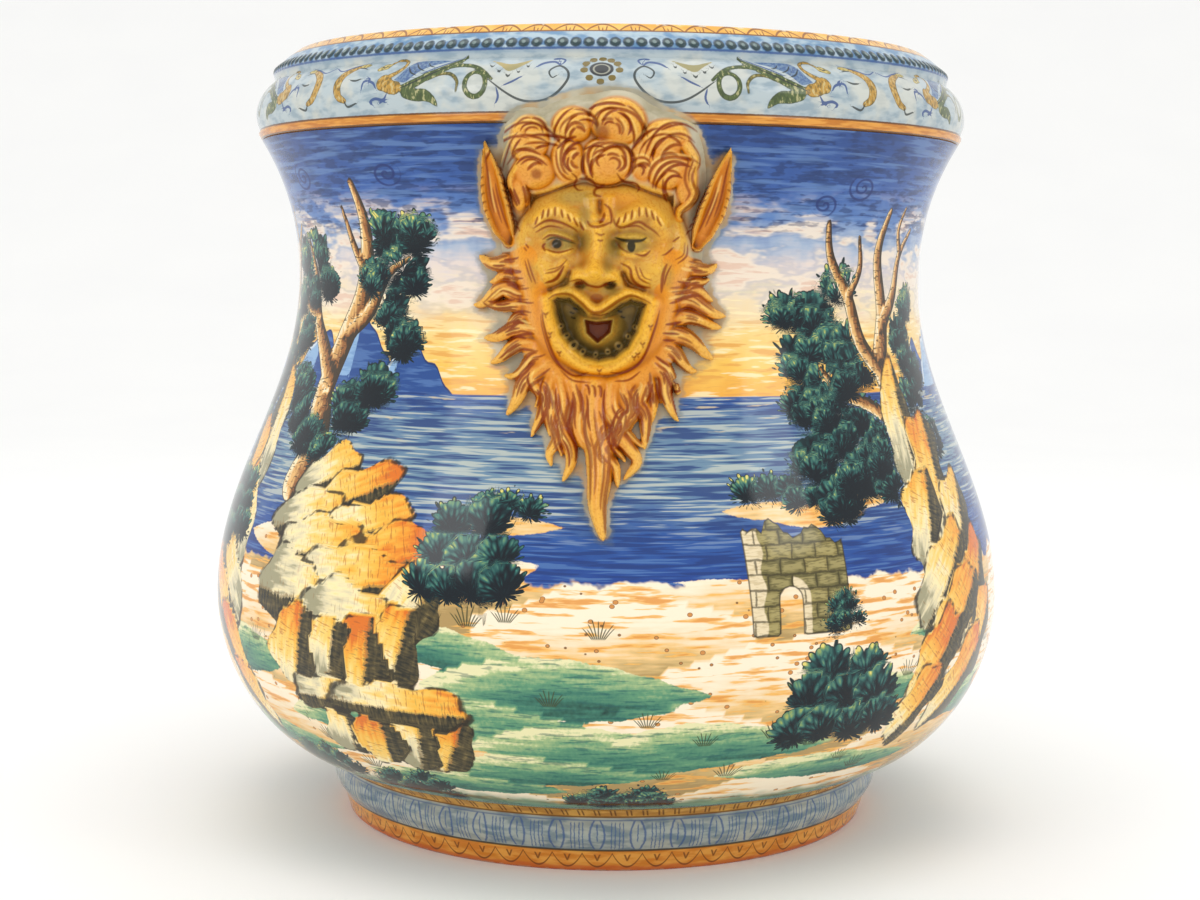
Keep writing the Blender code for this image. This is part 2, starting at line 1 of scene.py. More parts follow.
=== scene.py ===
"""Glaze, painting and fine relief of a majolica jardiniere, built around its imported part.

The pot stands on z = 0 with its axis on Z and one mask facing -Y. Drawings are in millimetres, and a
place round the pot is an azimuth in degrees: 0 at the front mask and 90 at +X.
"""

import math

import bpy
import numpy as np
from mathutils import Euler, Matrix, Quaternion, Vector


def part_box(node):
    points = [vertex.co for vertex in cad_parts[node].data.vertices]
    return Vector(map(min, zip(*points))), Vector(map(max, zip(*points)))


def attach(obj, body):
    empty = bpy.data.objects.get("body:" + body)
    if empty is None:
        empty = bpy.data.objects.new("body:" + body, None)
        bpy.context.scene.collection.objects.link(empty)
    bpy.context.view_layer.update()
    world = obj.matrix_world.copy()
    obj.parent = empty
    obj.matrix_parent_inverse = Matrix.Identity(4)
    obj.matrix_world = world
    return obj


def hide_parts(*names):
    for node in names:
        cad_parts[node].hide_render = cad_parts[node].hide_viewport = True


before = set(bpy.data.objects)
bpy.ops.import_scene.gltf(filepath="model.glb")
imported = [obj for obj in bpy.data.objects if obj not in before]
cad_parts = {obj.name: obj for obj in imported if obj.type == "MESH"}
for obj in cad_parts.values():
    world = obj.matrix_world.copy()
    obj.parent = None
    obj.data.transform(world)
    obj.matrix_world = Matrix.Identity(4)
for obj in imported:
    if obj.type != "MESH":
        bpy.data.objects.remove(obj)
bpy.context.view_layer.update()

bl_info = {
    "name": "Majolica Jardiniere",
    "version": (1, 0, 0),
    "blender": (4, 5, 0),
    "location": "View3D > Sidebar > Pottery",
    "description": "Dresses a jardiniere with its painted glaze and modelled masks",
    "category": "Object",
}

MM = 0.001

# Heights and radii of the turned parts, in millimetres
BELLY_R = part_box("body_shell")[1].x / MM
SEAT_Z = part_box("body_shell")[0].z / MM
LIP_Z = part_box("rim_collar")[1].z / MM
NECK_Z = LIP_Z - 42.6
NECK_R = BELLY_R - 23.2
WAIST_R, WAIST_Z = BELLY_R - 40.4, NECK_Z - 65.4
BELLY_Z = 110.0
SEAT_R = 140.0
WALL, FLOOR, FLOOR_CORNER = 9.0, 10.0, 16.0
TENON_R, TENON_RISE = NECK_R - 4.8, 6.0
COLLAR_FOOT_R, COLLAR_FOOT_Z = NECK_R + 1.5, NECK_Z + 4.7
OVOLO_R, OVOLO_Z = NECK_R + 2.8, NECK_Z + 12.1
FILLET_R, FILLET_Z = NECK_R - 6.0, NECK_Z + 27.6
BEAD_Z, BEAD_COVE_Z, LIP_BAND_Z = NECK_Z + 31.8, NECK_Z + 36.3, NECK_Z + 38.8
COVE_R, LIP_BAND_R, LIP_R, MOUTH_R = NECK_R - 9.5, NECK_R - 12.0, NECK_R - 17.5, NECK_R - 24.0
FOOT_BASE_R, FOOT_BAND_R, FOOT_NECK_R, FOOT_TOP_R = 128.4, 131.2, 134.5, 138.5
FOOT_BAND_Z, FOOT_NECK_Z = 10.2, 26.0
FOOT_INNER_R, TORUS_SWELL = 114.5, 2.7
SLIP_GAP = 0.3
# A bead's half width, as a share of its place in the row, and how far its middle is below the cove's edge
BEAD_SHARE, BEAD_DROP = 0.42, 2.6
# How near a face lies to a joint's height to count as on it, and how near points lie that are merged
JOINT_EDGE, MERGE_GAP = 0.05, 0.01
# How far above the wall's skin a mask's relief counts as shown
SHOWN_RISE = -0.35

# Fineness of the meshes: sides of each turned part, rows of its profile, and the step of the masks
BODY_SIDES, BODY_ROWS = 560, 146
COLLAR_SIDES, COLLAR_ROWS = 1400, 54
FOOT_SIDES, FOOT_ROWS = 620, 44
MASK_STEP = 0.4


def rgb(red, green, blue):
    """A colour mixed in display values from 0 to 255, as the shaders take it."""
    display = [c / 255 for c in (red, green, blue)]
    return tuple(c / 12.92 if c <= 0.04045 else ((c + 0.055) / 1.055) ** 2.4 for c in display) + (1.0,)


# Profiles, in millimetres


def body_radius(z):
    z = np.asarray(z, float)
    flare = np.clip((z - WAIST_Z) / (NECK_Z - WAIST_Z), 0, 1) ** 2.3
    swell = (1 - np.cos(math.pi * np.clip((WAIST_Z - z) / (WAIST_Z - BELLY_Z), 0, 1))) / 2
    under = (1 - np.clip((BELLY_Z - z) / (BELLY_Z - SEAT_Z), 0, 1) ** 2) ** 0.65
    above = WAIST_R + (NECK_R - WAIST_R) * flare
    below = WAIST_R + (BELLY_R - WAIST_R) * swell
    return np.where(z > WAIST_Z, above, np.where(z > BELLY_Z, below, SEAT_R + (BELLY_R - SEAT_R) * under))


def collar_radius(z):
    drop = np.clip(abs(z - OVOLO_Z) / (FILLET_Z - OVOLO_Z), 0, 1)
    foot = NECK_R + (COLLAR_FOOT_R - NECK_R) * np.clip((z - NECK_Z) / (COLLAR_FOOT_Z - NECK_Z), 0, 1)
    return np.where(z < COLLAR_FOOT_Z, foot, FILLET_R + (OVOLO_R - FILLET_R) * (1 - drop**2) ** 0.9)


def wall_radius(z):
    return np.where(z > NECK_Z, collar_radius(z), body_radius(z))


def even_rows(points, count):
    """Points at even steps along an open line."""
    points = np.array(points, float)
    along = np.concatenate([[0], np.cumsum(np.hypot(*np.diff(points, axis=0).T))])
    steps = np.linspace(0, along[-1], count)
    return np.stack([np.interp(steps, along, points[:, 0]), np.interp(steps, along, points[:, 1])], axis=1)


def arc(middle_r, middle_z, radius, start, end, count):
    """Points on a round corner of a profile, between two angles in degrees."""
    angles = np.radians(np.linspace(start, end, count))
    return [(middle_r + radius * math.cos(a), middle_z + radius * math.sin(a)) for a in angles]


def body_points(heights, depth=0.0):
    """Points of the body's outer line at some heights, or points a depth inside it."""
    return [(float(body_radius(z)) - depth, z) for z in heights]


def body_profile():
    """The body's closed outline: up the inside from the floor, over the tenon and down the outside."""
    floor_z, inner_r = SEAT_Z + FLOOR, NECK_R - WALL
    corner_z = floor_z + FLOOR_CORNER
    corner_r = float(body_radius(corner_z)) - WALL - FLOOR_CORNER
    inside = [(0, floor_z), (0.5 * corner_r, floor_z)]
    inside += arc(corner_r, corner_z, FLOOR_CORNER, -90, 0, 6)
    inside += body_points(np.linspace(corner_z + 10, NECK_Z, 12), WALL)
    tenon = [(inner_r, NECK_Z + TENON_RISE), (TENON_R, NECK_Z + TENON_RISE), (TENON_R, NECK_Z)]
    turn = np.sin(np.linspace(0, math.pi / 2, 200))
    dense = body_points(np.linspace(NECK_Z, BELLY_Z, 400))
    dense += body_points(BELLY_Z - (BELLY_Z - SEAT_Z) * turn[1:])
    outside = [tuple(p) for p in even_rows(dense, BODY_ROWS)]
    return inside + tenon + outside + [(0.5 * SEAT_R, SEAT_Z), (0, SEAT_Z)]


def collar_profile():
    """The collar's closed outline from its joint with the neck up the inside and down the outside."""
    bottom, inner_r, rebate_r = NECK_Z + SLIP_GAP, NECK_R - WALL, TENON_R + SLIP_GAP
    inside = [(rebate_r, bottom), (rebate_r, bottom + TENON_RISE), (inner_r, bottom + TENON_RISE)]
    inside += [(inner_r - 1.2 * i, NECK_Z + 10 + 6.2 * i) for i in range(4)]
    inside += [(MOUTH_R + 3.4, BEAD_Z), (MOUTH_R + 0.9, BEAD_COVE_Z)]
    inside += [(MOUTH_R, LIP_BAND_Z), (MOUTH_R + 0.6, LIP_Z - 1.6), (MOUTH_R + 2.2, LIP_Z - 0.3)]
    outside = [
        (LIP_R - 1.8, LIP_Z), (LIP_R + 0.6, LIP_Z - 0.3), (LIP_R + 2.0, LIP_Z - 1.4),
        (LIP_BAND_R, LIP_BAND_Z), (COVE_R - 0.6, BEAD_COVE_Z + 0.9), (COVE_R + 0.6, BEAD_COVE_Z - 0.4),
        (FILLET_R - 0.2, BEAD_Z + 1.4), (FILLET_R + 0.5, BEAD_Z - 0.4), (FILLET_R - 0.3, FILLET_Z),
    ]
    outside += [(float(collar_radius(z)), z) for z in np.linspace(FILLET_Z - 0.6, COLLAR_FOOT_Z, 120)]
    outside += [(COLLAR_FOOT_R + 0.3, COLLAR_FOOT_Z - 1.4)]
    outside += [(NECK_R + 0.4, bottom + 0.5), (NECK_R - 0.4, bottom)]
    return inside + [tuple(p) for p in even_rows(outside, COLLAR_ROWS)]


def foot_profile():
    """The foot ring's closed outline from its base up the inside and down the outside."""
    top = SEAT_Z - SLIP_GAP
    torus = []
    for share in np.linspace(0, 1, 40):
        base = FOOT_NECK_R + (FOOT_BAND_R - FOOT_NECK_R) * share
        height = FOOT_NECK_Z + (FOOT_BAND_Z - FOOT_NECK_Z) * share
        torus.append((base + TORUS_SWELL * math.sin(math.pi * share), height))
    inside = [(FOOT_INNER_R + 0.8, 0), (FOOT_INNER_R, 1.2)]
    inside += [(FOOT_INNER_R + 1, top / 2), (FOOT_INNER_R + 2, top)]
    outside = [(FOOT_TOP_R - 0.5, top), (FOOT_TOP_R, top - 0.6), (FOOT_NECK_R + 0.8, FOOT_NECK_Z + 1.6)]
    outside += torus
    outside += [(FOOT_BAND_R - 0.4, FOOT_BAND_Z - 1.2), (FOOT_BASE_R + 0.2, 1.0), (FOOT_BASE_R - 0.9, 0)]
    return inside + [tuple(p) for p in even_rows(outside, FOOT_ROWS)]


# Drawing aids, on arrays of places


def smooth_line(points, steps=6):
    """Points on a smooth curve through the given ones."""
    p = np.array(points, float)
    p = np.vstack([2 * p[0] - p[1], p, 2 * p[-1] - p[-2]])
    t = (np.arange(steps) / steps)[:, None]
    line = []
    for a, b, c, d in zip(p[:-3], p[1:-2], p[2:-1], p[3:]):
        bend = (2 * a - 5 * b + 4 * c - d) * t**2
        twist = (3 * b - a - 3 * c + d) * t**3
        line.append(0.5 * (2 * b + (c - a) * t + bend + twist))
    return np.vstack(line + [p[-2:-1]])


def nearest(x, y, line):
    """Distance to a line, positive on its left, and the share of its length reached."""
    step = np.diff(line, axis=0)
    length = np.hypot(step[:, 0], step[:, 1]) + 1e-9
    before = np.concatenate([[0], np.cumsum(length)])
    best = np.full(x.shape, np.inf)
    side = np.ones(x.shape)
    share = np.zeros(x.shape)
    for (ax, ay), (dx, dy), size, start in zip(line, step, length, before):
        t = np.clip(((x - ax) * dx + (y - ay) * dy) / size**2, 0, 1)
        ex, ey = x - ax - t * dx, y - ay - t * dy
        away = np.hypot(ex, ey)
        hit = away < best
        best = np.where(hit, away, best)
        side = np.where(hit, np.where(dx * ey - dy * ex < 0, -1, 1), side)
        share = np.where(hit, (start + t * size) / before[-1], share)
    return best * side, share


def inside(x, y, outline):
    """Distance to a closed outline, positive inside."""
    line = np.vstack([outline, outline[:1]]).astype(float)
    away, _ = nearest(x, y, line)
    odd = np.zeros(x.shape, bool)
    for (ax, ay), (bx, by) in zip(line[:-1], line[1:]):
        if ay != by:
            odd ^= ((ay > y) != (by > y)) & (x < ax + (y - ay) * (bx - ax) / (by - ay))
    return np.where(odd, abs(away), -abs(away))


def smooth_max(a, b, width):
    mix = np.clip(0.5 + 0.5 * (a - b) / width, 0, 1)
    return b + (a - b) * mix + width * mix * (1 - mix)


def eased(t):
    t = np.clip(t, 0, 1)
    return t * t * (3 - 2 * t)


def turned_by(x, y, degrees):
    c, s = math.cos(math.radians(degrees)), math.sin(math.radians(degrees))
    return x * c + y * s, y * c - x * s


def width_along(share, half_widths):
    """The half width reached along a line, from evenly spaced ones."""
    return np.interp(share, np.linspace(0, 1, len(half_widths)), half_widths)


def blurred(values, times):
    for _ in range(times):
        for axis in (0, 1):
            values = (np.roll(values, 1, axis) + np.roll(values, -1, axis) + 2 * values) / 4
    return values


# Values of a mesh, as arrays


def read_places(items, key):
    places = np.empty(len(items) * 3, np.float32)
    items.foreach_get(key, places)
    return places.reshape(-1, 3)


def read_numbers(items, key):
    numbers = np.empty(len(items), np.int32)
    items.foreach_get(key, numbers)
    return numbers


def store(mesh, name, values, kind="FLOAT"):
    """Stores a value for each point of a mesh, for its glaze to read."""
    attribute = mesh.attributes.new(name, kind, "POINT")
    attribute.data.foreach_set("value", values.astype(np.float32 if kind == "FLOAT" else np.int32))


# The satyr mask, sculpted as a relief in millimetres from the middle of the face: x to the right and z up

PAINTS = ("straw", "ochre", "brown", "dark", "pale", "green")
HIDDEN = -4.0
# Brown strands at a lock's edges and inside it: where they start, how far they reach and their widths
EDGE_STRANDS = ((0.1, 0.4), (0.45, 0.7), (1.2, 1.9))
INNER_STRANDS = ((0.0, 0.5), (0.25, 0.45), (0.8, 1.4))


def tapered(share, tip, hold):
    """The share of a lock's width that is left along it."""
    return tip + (1 - tip) * np.clip((1 - share) / 0.75, 0, 1) ** hold


def sideways(line):
    """The direction across a line at each of its points, on its left."""
    step = np.gradient(line, axis=0)
    normal = np.stack([-step[:, 1], step[:, 0]], axis=1)
    return normal / (np.linalg.norm(normal, axis=1)[:, None] + 1e-9)


class Clay:
    """A relief over the pot's wall, with the amount of each paint laid on it."""

    def __init__(self, x, z):
        self.x, self.z = x, z
        self.step = x[0, 1] - x[0, 0]
        self.wall = np.sqrt(np.maximum(wall_radius(z + WAIST_Z) ** 2 - x**2, 50))
        self.depth = self.wall + HIDDEN
        self.paint = {name: np.zeros(x.shape) for name in PAINTS}

    def window(self, points, margin):
        """The part of the grid round some points."""
        p = np.array(points, float)
        low, high = p.min(axis=0) - margin, p.max(axis=0) + margin
        first_x, first_z = self.x[0, 0], self.z[0, 0]
        columns = [int((v - first_x) / self.step) for v in (low[0], high[0])]
        rows = [int((v - first_z) / self.step) for v in (low[1], high[1])]
        return slice(max(rows[0], 0), max(rows[1] + 2, 0)), slice(max(columns[0], 0), max(columns[1] + 2, 0))

    def along(self, points, margin):
        """The window round a line, with the distance to the line and the share of it reached."""
        w = self.window(points, margin)
        return w, *nearest(self.x[w], self.z[w], smooth_line(points))

    def join(self, w, rise, soft):
        """Adds clay that stands a rise over the wall, with a soft edge."""
        self.depth[w] = smooth_max(self.depth[w], self.wall[w] + rise, soft)

    def ridge(self, points, width, height, ends):
        w, away, share = self.along(points, 2.2 * width)
        fade = np.clip(5 * np.minimum(share, 1 - share) + ends, 0, 1)
        self.depth[w] += height * fade * np.exp(-((away / width) ** 2))

    def bump(self, x, z, wide, high, height, power=1.0):
        w = self.window([(x, z)], 2.4 * max(wide, high))
        q = ((self.x[w] - x) / wide) ** 2 + ((self.z[w] - z) / high) ** 2
        self.depth[w] += height * np.exp(-(q**power))

    def lay(self, paint, w, amount):
        self.paint[paint][w] = np.maximum(self.paint[paint][w], amount)

    def stroke(self, paint, points, width, strength=1.0, groove=0.0):
        w, away, share = self.along(points, width + 1.5)
        taper = np.clip(4 * share * (1 - share), 0, 1)
        self.lay(paint, w, strength * np.clip((width / 2 * taper**0.45 - abs(away)) / 0.5 + 0.5, 0, 1))
        if groove:
            self.depth[w] -= groove * np.exp(-((away / (0.6 * width)) ** 2)) * np.clip(1.5 * taper, 0, 1)

    def wash(self, paint, outline, amount, feather):
        w = self.window(outline, feather + 1)
        self.lay(paint, w, amount * eased(inside(self.x[w], self.z[w], outline) / feather + 0.5))

    def spot(self, paint, x, z, wide, high, amount, feather=0.5):
        w = self.window([(x, z)], max(wide, high) + feather + 1)
        q = np.hypot((self.x[w] - x) / wide, (self.z[w] - z) / high)
        self.lay(paint, w, amount * np.clip((1 - q) * min(wide, high) / feather + 0.5, 0, 1))

    def lock(self, points, width, rise, rng, strokes=4, tip=0.10, hold=0.55):
        """A lock of hair: rounded, combed and tapered, with its painted strokes."""
        line = smooth_line(points)
        w, away, share = self.along(points, 2 * width + 3)
        taper = tapered(share, tip, hold)
        u = away / (width * taper)
        body = rise * (0.30 + 0.70 * taper) * np.sqrt(np.clip(1 - u**2, 0, 1))
        comb = 0.3 * np.cos(2 * math.pi * (1.35 * u + 0.1 * np.sin(7 * share))) * taper
        rounded = body + comb * np.clip(1 - u**4, 0, 1)
        self.join(w, np.where(u**2 < 1, rounded, HIDDEN - (abs(u) - 1)), 1.4)
        self.lay("ochre", w, np.clip((1.05 - abs(u)) * width * taper / 0.9 + 0.5, 0, 1))
        for k in range(strokes):
            across = (k + 0.5) / strokes * 1.7 - 0.85 + rng.uniform(-0.12, 0.12)
            starts, reaches, sizes = EDGE_STRANDS if k in (0, strokes - 1) else INNER_STRANDS
            start = rng.uniform(*starts)
            end = min(start + rng.uniform(*reaches), 0.98)
            strand = self.strand(line, width, tip, hold, across, start, end)
            self.comb("brown", strand, rng.uniform(*sizes), rng.uniform(0.7, 1.0))
        for _ in range(max(1, strokes // 2)):
            start = rng.uniform(0.05, 0.5)
            strand = self.strand(line, width, tip, hold, rng.uniform(-0.6, 0.6), start, start + 0.35)
            self.comb("pale", strand, rng.uniform(0.7, 1.2), rng.uniform(0.5, 0.9))

    def strand(self, line, width, tip, hold, across, start, end):
        """A stretch of a lock's line, moved across its width."""
        share = np.linspace(0, 1, len(line))
        moved = line + sideways(line) * (across * width * tapered(share, tip, hold))[:, None]
        return moved[(share >= start) & (share <= end)]

    def comb(self, paint, line, size, strength):
        if len(line) >= 3:
            self.stroke(paint, line[:: max(1, len(line) // 6)], size, strength)

    def lobe(self, x, z, wide, high, rise):
        """A rounded lobe of hair over the scalp."""
        scalp = 6.0
        w = self.window([(x, z)], 1.6 * max(wide, high) + 2)
        q = ((self.x[w] - x) / wide) ** 2 + ((self.z[w] - z) / high) ** 2
        outside = scalp - 2.25 * (np.sqrt(q) - 1) * min(wide, high)
        self.join(w, np.where(q < 1, scalp + rise * np.sqrt(np.clip(1 - q, 0, 1)), outside), 1.6)
        self.lay("ochre", w, np.clip((1.08 - np.sqrt(q)) * min(wide, high) / 1.6 + 0.5, 0, 1))

    def swirl(self, x, z, smallest, largest, count, start, end, rng):
        """Strands combed round a middle, each a groove with a brown stroke in it and a pale one beside it."""
        for radius in np.linspace(smallest, largest, count):
            middle = np.array([x, z]) + rng.uniform(-0.9, 0.9, 2)
            ends = [math.radians(angle + rng.uniform(-16, 16)) for angle in (start, (start + end) / 2, end)]
            if rng.uniform() < 0.6:
                ends.pop(1)
            for first, last in zip(ends[:-1], ends[1:]):
                angles = np.linspace(first, last, max(6, int(abs(last - first) * radius / 2.0)))
                lean = np.linspace(-0.13, 0.13, len(angles)) * rng.choice((-1, 1))
                waved = radius * (1 + lean + 0.06 * np.sin(3.1 * angles + rng.uniform(0, 6)))[:, None]
                ring = np.stack([np.cos(angles), np.sin(angles)], axis=1)
                size, strength = rng.uniform(0.9, 1.6), rng.uniform(0.7, 1.0)
                self.stroke("brown", middle + ring * waved, size, strength, groove=0.75)
                crest = (middle + ring * (waved + 1.2))[1:-1]
                self.stroke("pale", crest, rng.uniform(0.6, 1.1), rng.uniform(0.4, 0.8))


FACE_EDGE = [
    (-27.5, 40), (-33.5, 30), (-36.5, 18), (-35.5, 8), (-31, 0), (-28.5, -10), (-27, -20), (-22.5, -31),
    (-15, -38.5), (-5, -41), (6, -41), (15, -38.5), (22.5, -31), (27, -20), (28.5, -10), (31, 0), (36, 8),
    (37, 18), (34, 30), (28, 40), (14, 43), (0, 41), (-14, 43),
]
MOUTH = [
    (-20.5, -7.1), (-18.1, -5), (-12.2, -5), (-7.9, -8.1), (-3.6, -11.8), (0.1, -12), (4.4, -9.7),
    (8.1, -7.1), (12.9, -5.2), (17.7, -6.5), (20.4, -8.4), (18.4, -14.4), (16.6, -20.7), (12.9, -27.5),
    (7, -32.2), (-0.4, -33.7), (-6.8, -32.2), (-12.7, -27.5), (-17, -22.2), (-19.7, -13.3),
]
THROAT = [(-6.3, -15.5), (-1.5, -16.3), (5.2, -15.5), (4.4, -20.7), (-1.0, -25.4), (-5.5, -21.2)]
UPPER_LIP = [
    (-22.5, -6.5), (-18, -3.6), (-12.2, -3.4), (-7.4, -6.2), (-3, -9.8), (0.2, -10.2), (4, -8), (8, -5.4),
    (12.9, -3.6), (17.8, -4.8), (22.5, -8),
]
LOWER_LIP = [
    (-22.5, -8), (-21.5, -16), (-18, -25), (-12.5, -31.5), (-6, -35.5), (0, -36.6), (6, -35.5),
    (12.5, -31.5), (18, -25), (20.5, -16), (22.6, -9),
]

# Ridges of the face: the line, its width, its height (a hollow's is below zero) and the fade of its ends
FACE_RIDGES = [
    ([(-29, 23), (-23.4, 29), (-18, 30), (-12.2, 27), (-6.8, 23.7)], 3.6, 4.6, 0.35),
    ([(6, 24), (11.3, 27), (17.2, 30), (22.5, 28.9), (26, 22)], 3.6, 4.6, 0.35),
    ([(-4.5, 37), (-3.6, 30), (-2.6, 25)], 2.6, 1.6, 0.35),
    ([(3.6, 37), (3.4, 30), (3.0, 25)], 2.6, 1.8, 0.35),
    ([(-0.4, 35), (-0.2, 24)], 1.6, -1.4, 0.35),
    ([(-0.8, 25), (-1.2, 16), (-2, 8), (-2.4, 3)], 3.6, 6.0, 0.6),
    ([(-24.5, 17.4), (-20.7, 20), (-15.9, 19.4), (-9.6, 16.6)], 1.3, 1.9, 0.35),
    ([(-23.6, 13.4), (-17.5, 11.4), (-10.6, 13.8)], 1.2, 1.5, 0.35),
    ([(5.6, 18.4), (10.2, 19), (15.6, 19.2), (20.6, 17.0)], 1.3, 2.2, 0.35),
    ([(7.2, 13.2), (13.6, 11.2), (20.4, 13.2)], 1.2, 1.5, 0.35),
    ([(-13.5, 9.5), (-17.5, 4.5), (-24, 1)], 2.6, 2.4, 0.35),
    ([(10, 9), (14.6, 4.0), (21.5, 0.6)], 2.6, 2.4, 0.35),
    ([(-11.5, 5.5), (-15.0, -0.5), (-22.0, -4)], 1.7, -2.8, 0.35),
    ([(8.6, 5.2), (12.4, -0.8), (19.5, -4)], 1.7, -2.8, 0.35),
    (UPPER_LIP, 2.0, 3.6, 0.35),
    (LOWER_LIP, 2.9, 4.8, 0.8),
]
# Swellings and hollows of the face: middle, half width, half height and rise
FACE_SWELLINGS = [
    (-17, 16.2, 8.5, 5.2, -3.6), (13.6, 15.6, 8.5, 5.2, -3.6), (-17, 16.2, 5.4, 3.6, 3.9),
    (13.6, 15.6, 5.4, 3.6, 3.9), (-8.5, 16.5, 3.0, 5.0, -3.0), (6.5, 16.5, 3.0, 5.0, -3.0),
    (-15, 36, 9, 5, 1.8), (14, 36, 9, 5, 1.8), (-29, 22, 3, 8, -1.2), (30, 20, 3, 8, -1.2),
    (-2.2, 3.6, 5.6, 4.4, 9.5), (-9.6, 2.6, 3.6, 3.2, 6.2), (5.6, 2.4, 3.6, 3.2, 6.2),
    (-8.0, -0.6, 2.2, 1.5, -4.2), (4.2, -0.9, 2.2, 1.5, -4.2), (-24, 6.5, 7.0, 6.5, 5.2),
    (23.5, 5.5, 7.0, 6.5, 5.2), (0, -45, 10, 4, 1.5),
]
# Locks: the line, its half width and its rise
LEFT_WHISKERS = [
    ([(-31, 10), (-38, 6.5), (-44, 8), (-52, 12.6)], 4.4, 7.5),
    ([(-29, 2), (-36, 0.5), (-42, 2.5), (-47.5, 1.0)], 3.6, 7.0),
    ([(-27, -4), (-35, -5.5), (-42, -4), (-49, -7.5), (-54.5, -8.6)], 4.4, 8.0),
    ([(-26, -10), (-34, -10.5), (-42, -10), (-50.8, -6.8)], 3.6, 7.5),
    ([(-26, -15), (-32, -16), (-37, -16), (-41.5, -19)], 3.4, 7.0),
    ([(-25, -20), (-33, -20.5), (-41, -21.5), (-49.5, -22.6)], 4.2, 8.0),
    ([(-24, -25), (-31, -26.5), (-38, -28), (-46.4, -33)], 4.0, 7.5),
    ([(-22, -30), (-28, -33), (-33, -37), (-40.5, -38)], 3.2, 7.0),
    ([(-21, -33), (-27, -38), (-32, -43), (-34.5, -48), (-39, -54.8)], 4.2, 8.0),
]
RIGHT_WHISKERS = [
    ([(31, 9), (37, 5.5), (43, 6), (49.2, 9.2)], 4.2, 7.5),
    ([(29, 2), (36, -1), (41, 1), (46, 3.0)], 3.4, 7.0),
    ([(27, -4), (35, -4.5), (42, -3.5), (47.5, -6.5)], 3.8, 7.5),
    ([(27, -9), (35, -8), (43, -9.5), (53, -12.4)], 4.4, 8.3),
    ([(26, -15), (34, -15), (42, -15), (51.3, -17.6)], 4.0, 8.0),
    ([(25, -21), (32, -22.5), (40, -25), (47.8, -31)], 4.2, 8.0),
    ([(24, -26), (30, -29), (35, -33), (41, -35.6)], 3.6, 7.0),
    ([(22, -31), (28, -36), (31, -42), (33, -44.5), (31, -40)], 2.6, 7.0),
    ([(22, -33), (27, -39), (27.6, -46), (30, -51), (33.2, -56.4)], 3.6, 8.0),
]
BEARD = [
    ([(-24, -34), (-25.4, -42), (-23, -47.2), (-25.2, -55), (-26.8, -64.5)], 3.2, 6.0),
    ([(-20, -38), (-19.4, -46), (-20.2, -57), (-17, -64.5), (-18.8, -71), (-19.2, -76)], 3.8, 7.5),
    ([(-15, -40), (-15.6, -50), (-15.0, -60), (-11.4, -68), (-12.8, -75), (-14, -82)], 3.9, 8.5),
    ([(11, -40), (10.2, -46), (12.6, -53), (8.8, -60.5), (12.2, -68), (14.6, -74), (11.6, -81)], 4.0, 8.5),
    ([(17, -38), (17.6, -43), (16.6, -49.8), (20.6, -55), (19.3, -61.3), (18, -69)], 3.6, 7.0),
    ([(22, -35), (23.5, -42), (21.5, -49), (23, -58)], 2.8, 5.5),
    ([(-9.5, -41), (-9.2, -50), (-9.0, -58), (-5, -65), (-1, -72)], 4.2, 9.5),
    ([(5, -42), (4.2, -52), (7, -60), (3.0, -68), (6.5, -76), (7.5, -84)], 4.2, 9.5),
]
BEARD_TIP = (
    [(-2, -42), (-2.6, -52), (-1.2, -62), (0.6, -70), (0.8, -80), (0.1, -90), (1.2, -98), (2.8, -105)],
    7.6, 11.0,
)
CHIN_BAND = [(-26, -28), (-18, -36), (-8, -40.5), (0, -42), (8, -40.5), (18, -36), (26, -28)]
LEFT_EAR = [(-39.0, 17), (-42.6, 26), (-45.2, 36), (-46.6, 46), (-48.8, 58.5)]
RIGHT_EAR = [(40.5, 16), (44.6, 25), (48.4, 35), (50.8, 45), (54.0, 56.5)]
# Lobes of the hair, from the back ones to the front ones: middle, half width, half height and rise
HAIR_LOBES = [
    (-29.5, 58, 8.0, 9.5, 5.0), (-27.5, 46, 9.0, 7.5, 5.5), (-34.2, 37.5, 3.4, 8, 3.2),
    (26.5, 59, 9.5, 7.5, 5.0), (27.5, 47.5, 9.5, 8.5, 5.5), (35.4, 44, 4.6, 12, 4.0),
    (-11.4, 64, 8.2, 7.2, 6.0), (6.5, 65.5, 11.5, 9.5, 7.5), (17.5, 50, 5.5, 8, 4.0),
    (-13.5, 50.5, 7.2, 9, 6.0), (2.2, 50, 10.5, 9.8, 8.0),
]
TEMPLE_CURLS = [
    ([(35, 56), (38, 51), (36.4, 45), (37.2, 40.5), (38.4, 37), (36, 33), (32.8, 30.5), (32.2, 27.6),
      (34, 26)], 3.0, 11),
    ([(-35, 47), (-37.6, 42), (-36.6, 37), (-34.8, 33), (-34.4, 30)], 2.4, 9),
    ([(-33, 47), (-32.2, 41), (-30.8, 36), (-31.4, 31)], 2.0, 9),
]
# Combed strands: the middle of a curl, the first and last radius and the number of its strands, and the
# angles from which to which they run
HAIR_SWIRLS = [
    (-27.5, 43, 5.0, 21.5, 9, 150, 55), (-9, 59.5, 3.2, 10.0, 5, 190, 30),
    (4.9, 61.5, 3.2, 12.2, 6, 150, -20),
    (-9, 50.5, 3.2, 9.8, 5, 100, 245), (0.8, 48.5, 2.8, 9.0, 5, 85, 225), (6, 49.2, 2.4, 8.4, 5, 150, -60),
    (30, 47.8, 6.0, 17.0, 7, 155, 60), (30.5, 37.4, 5.6, 13.6, 5, 165, 60), (17, 45, 2.4, 5.8, 3, 150, 30),
    (-28, 60, 3.0, 6.6, 3, 170, 20),
]

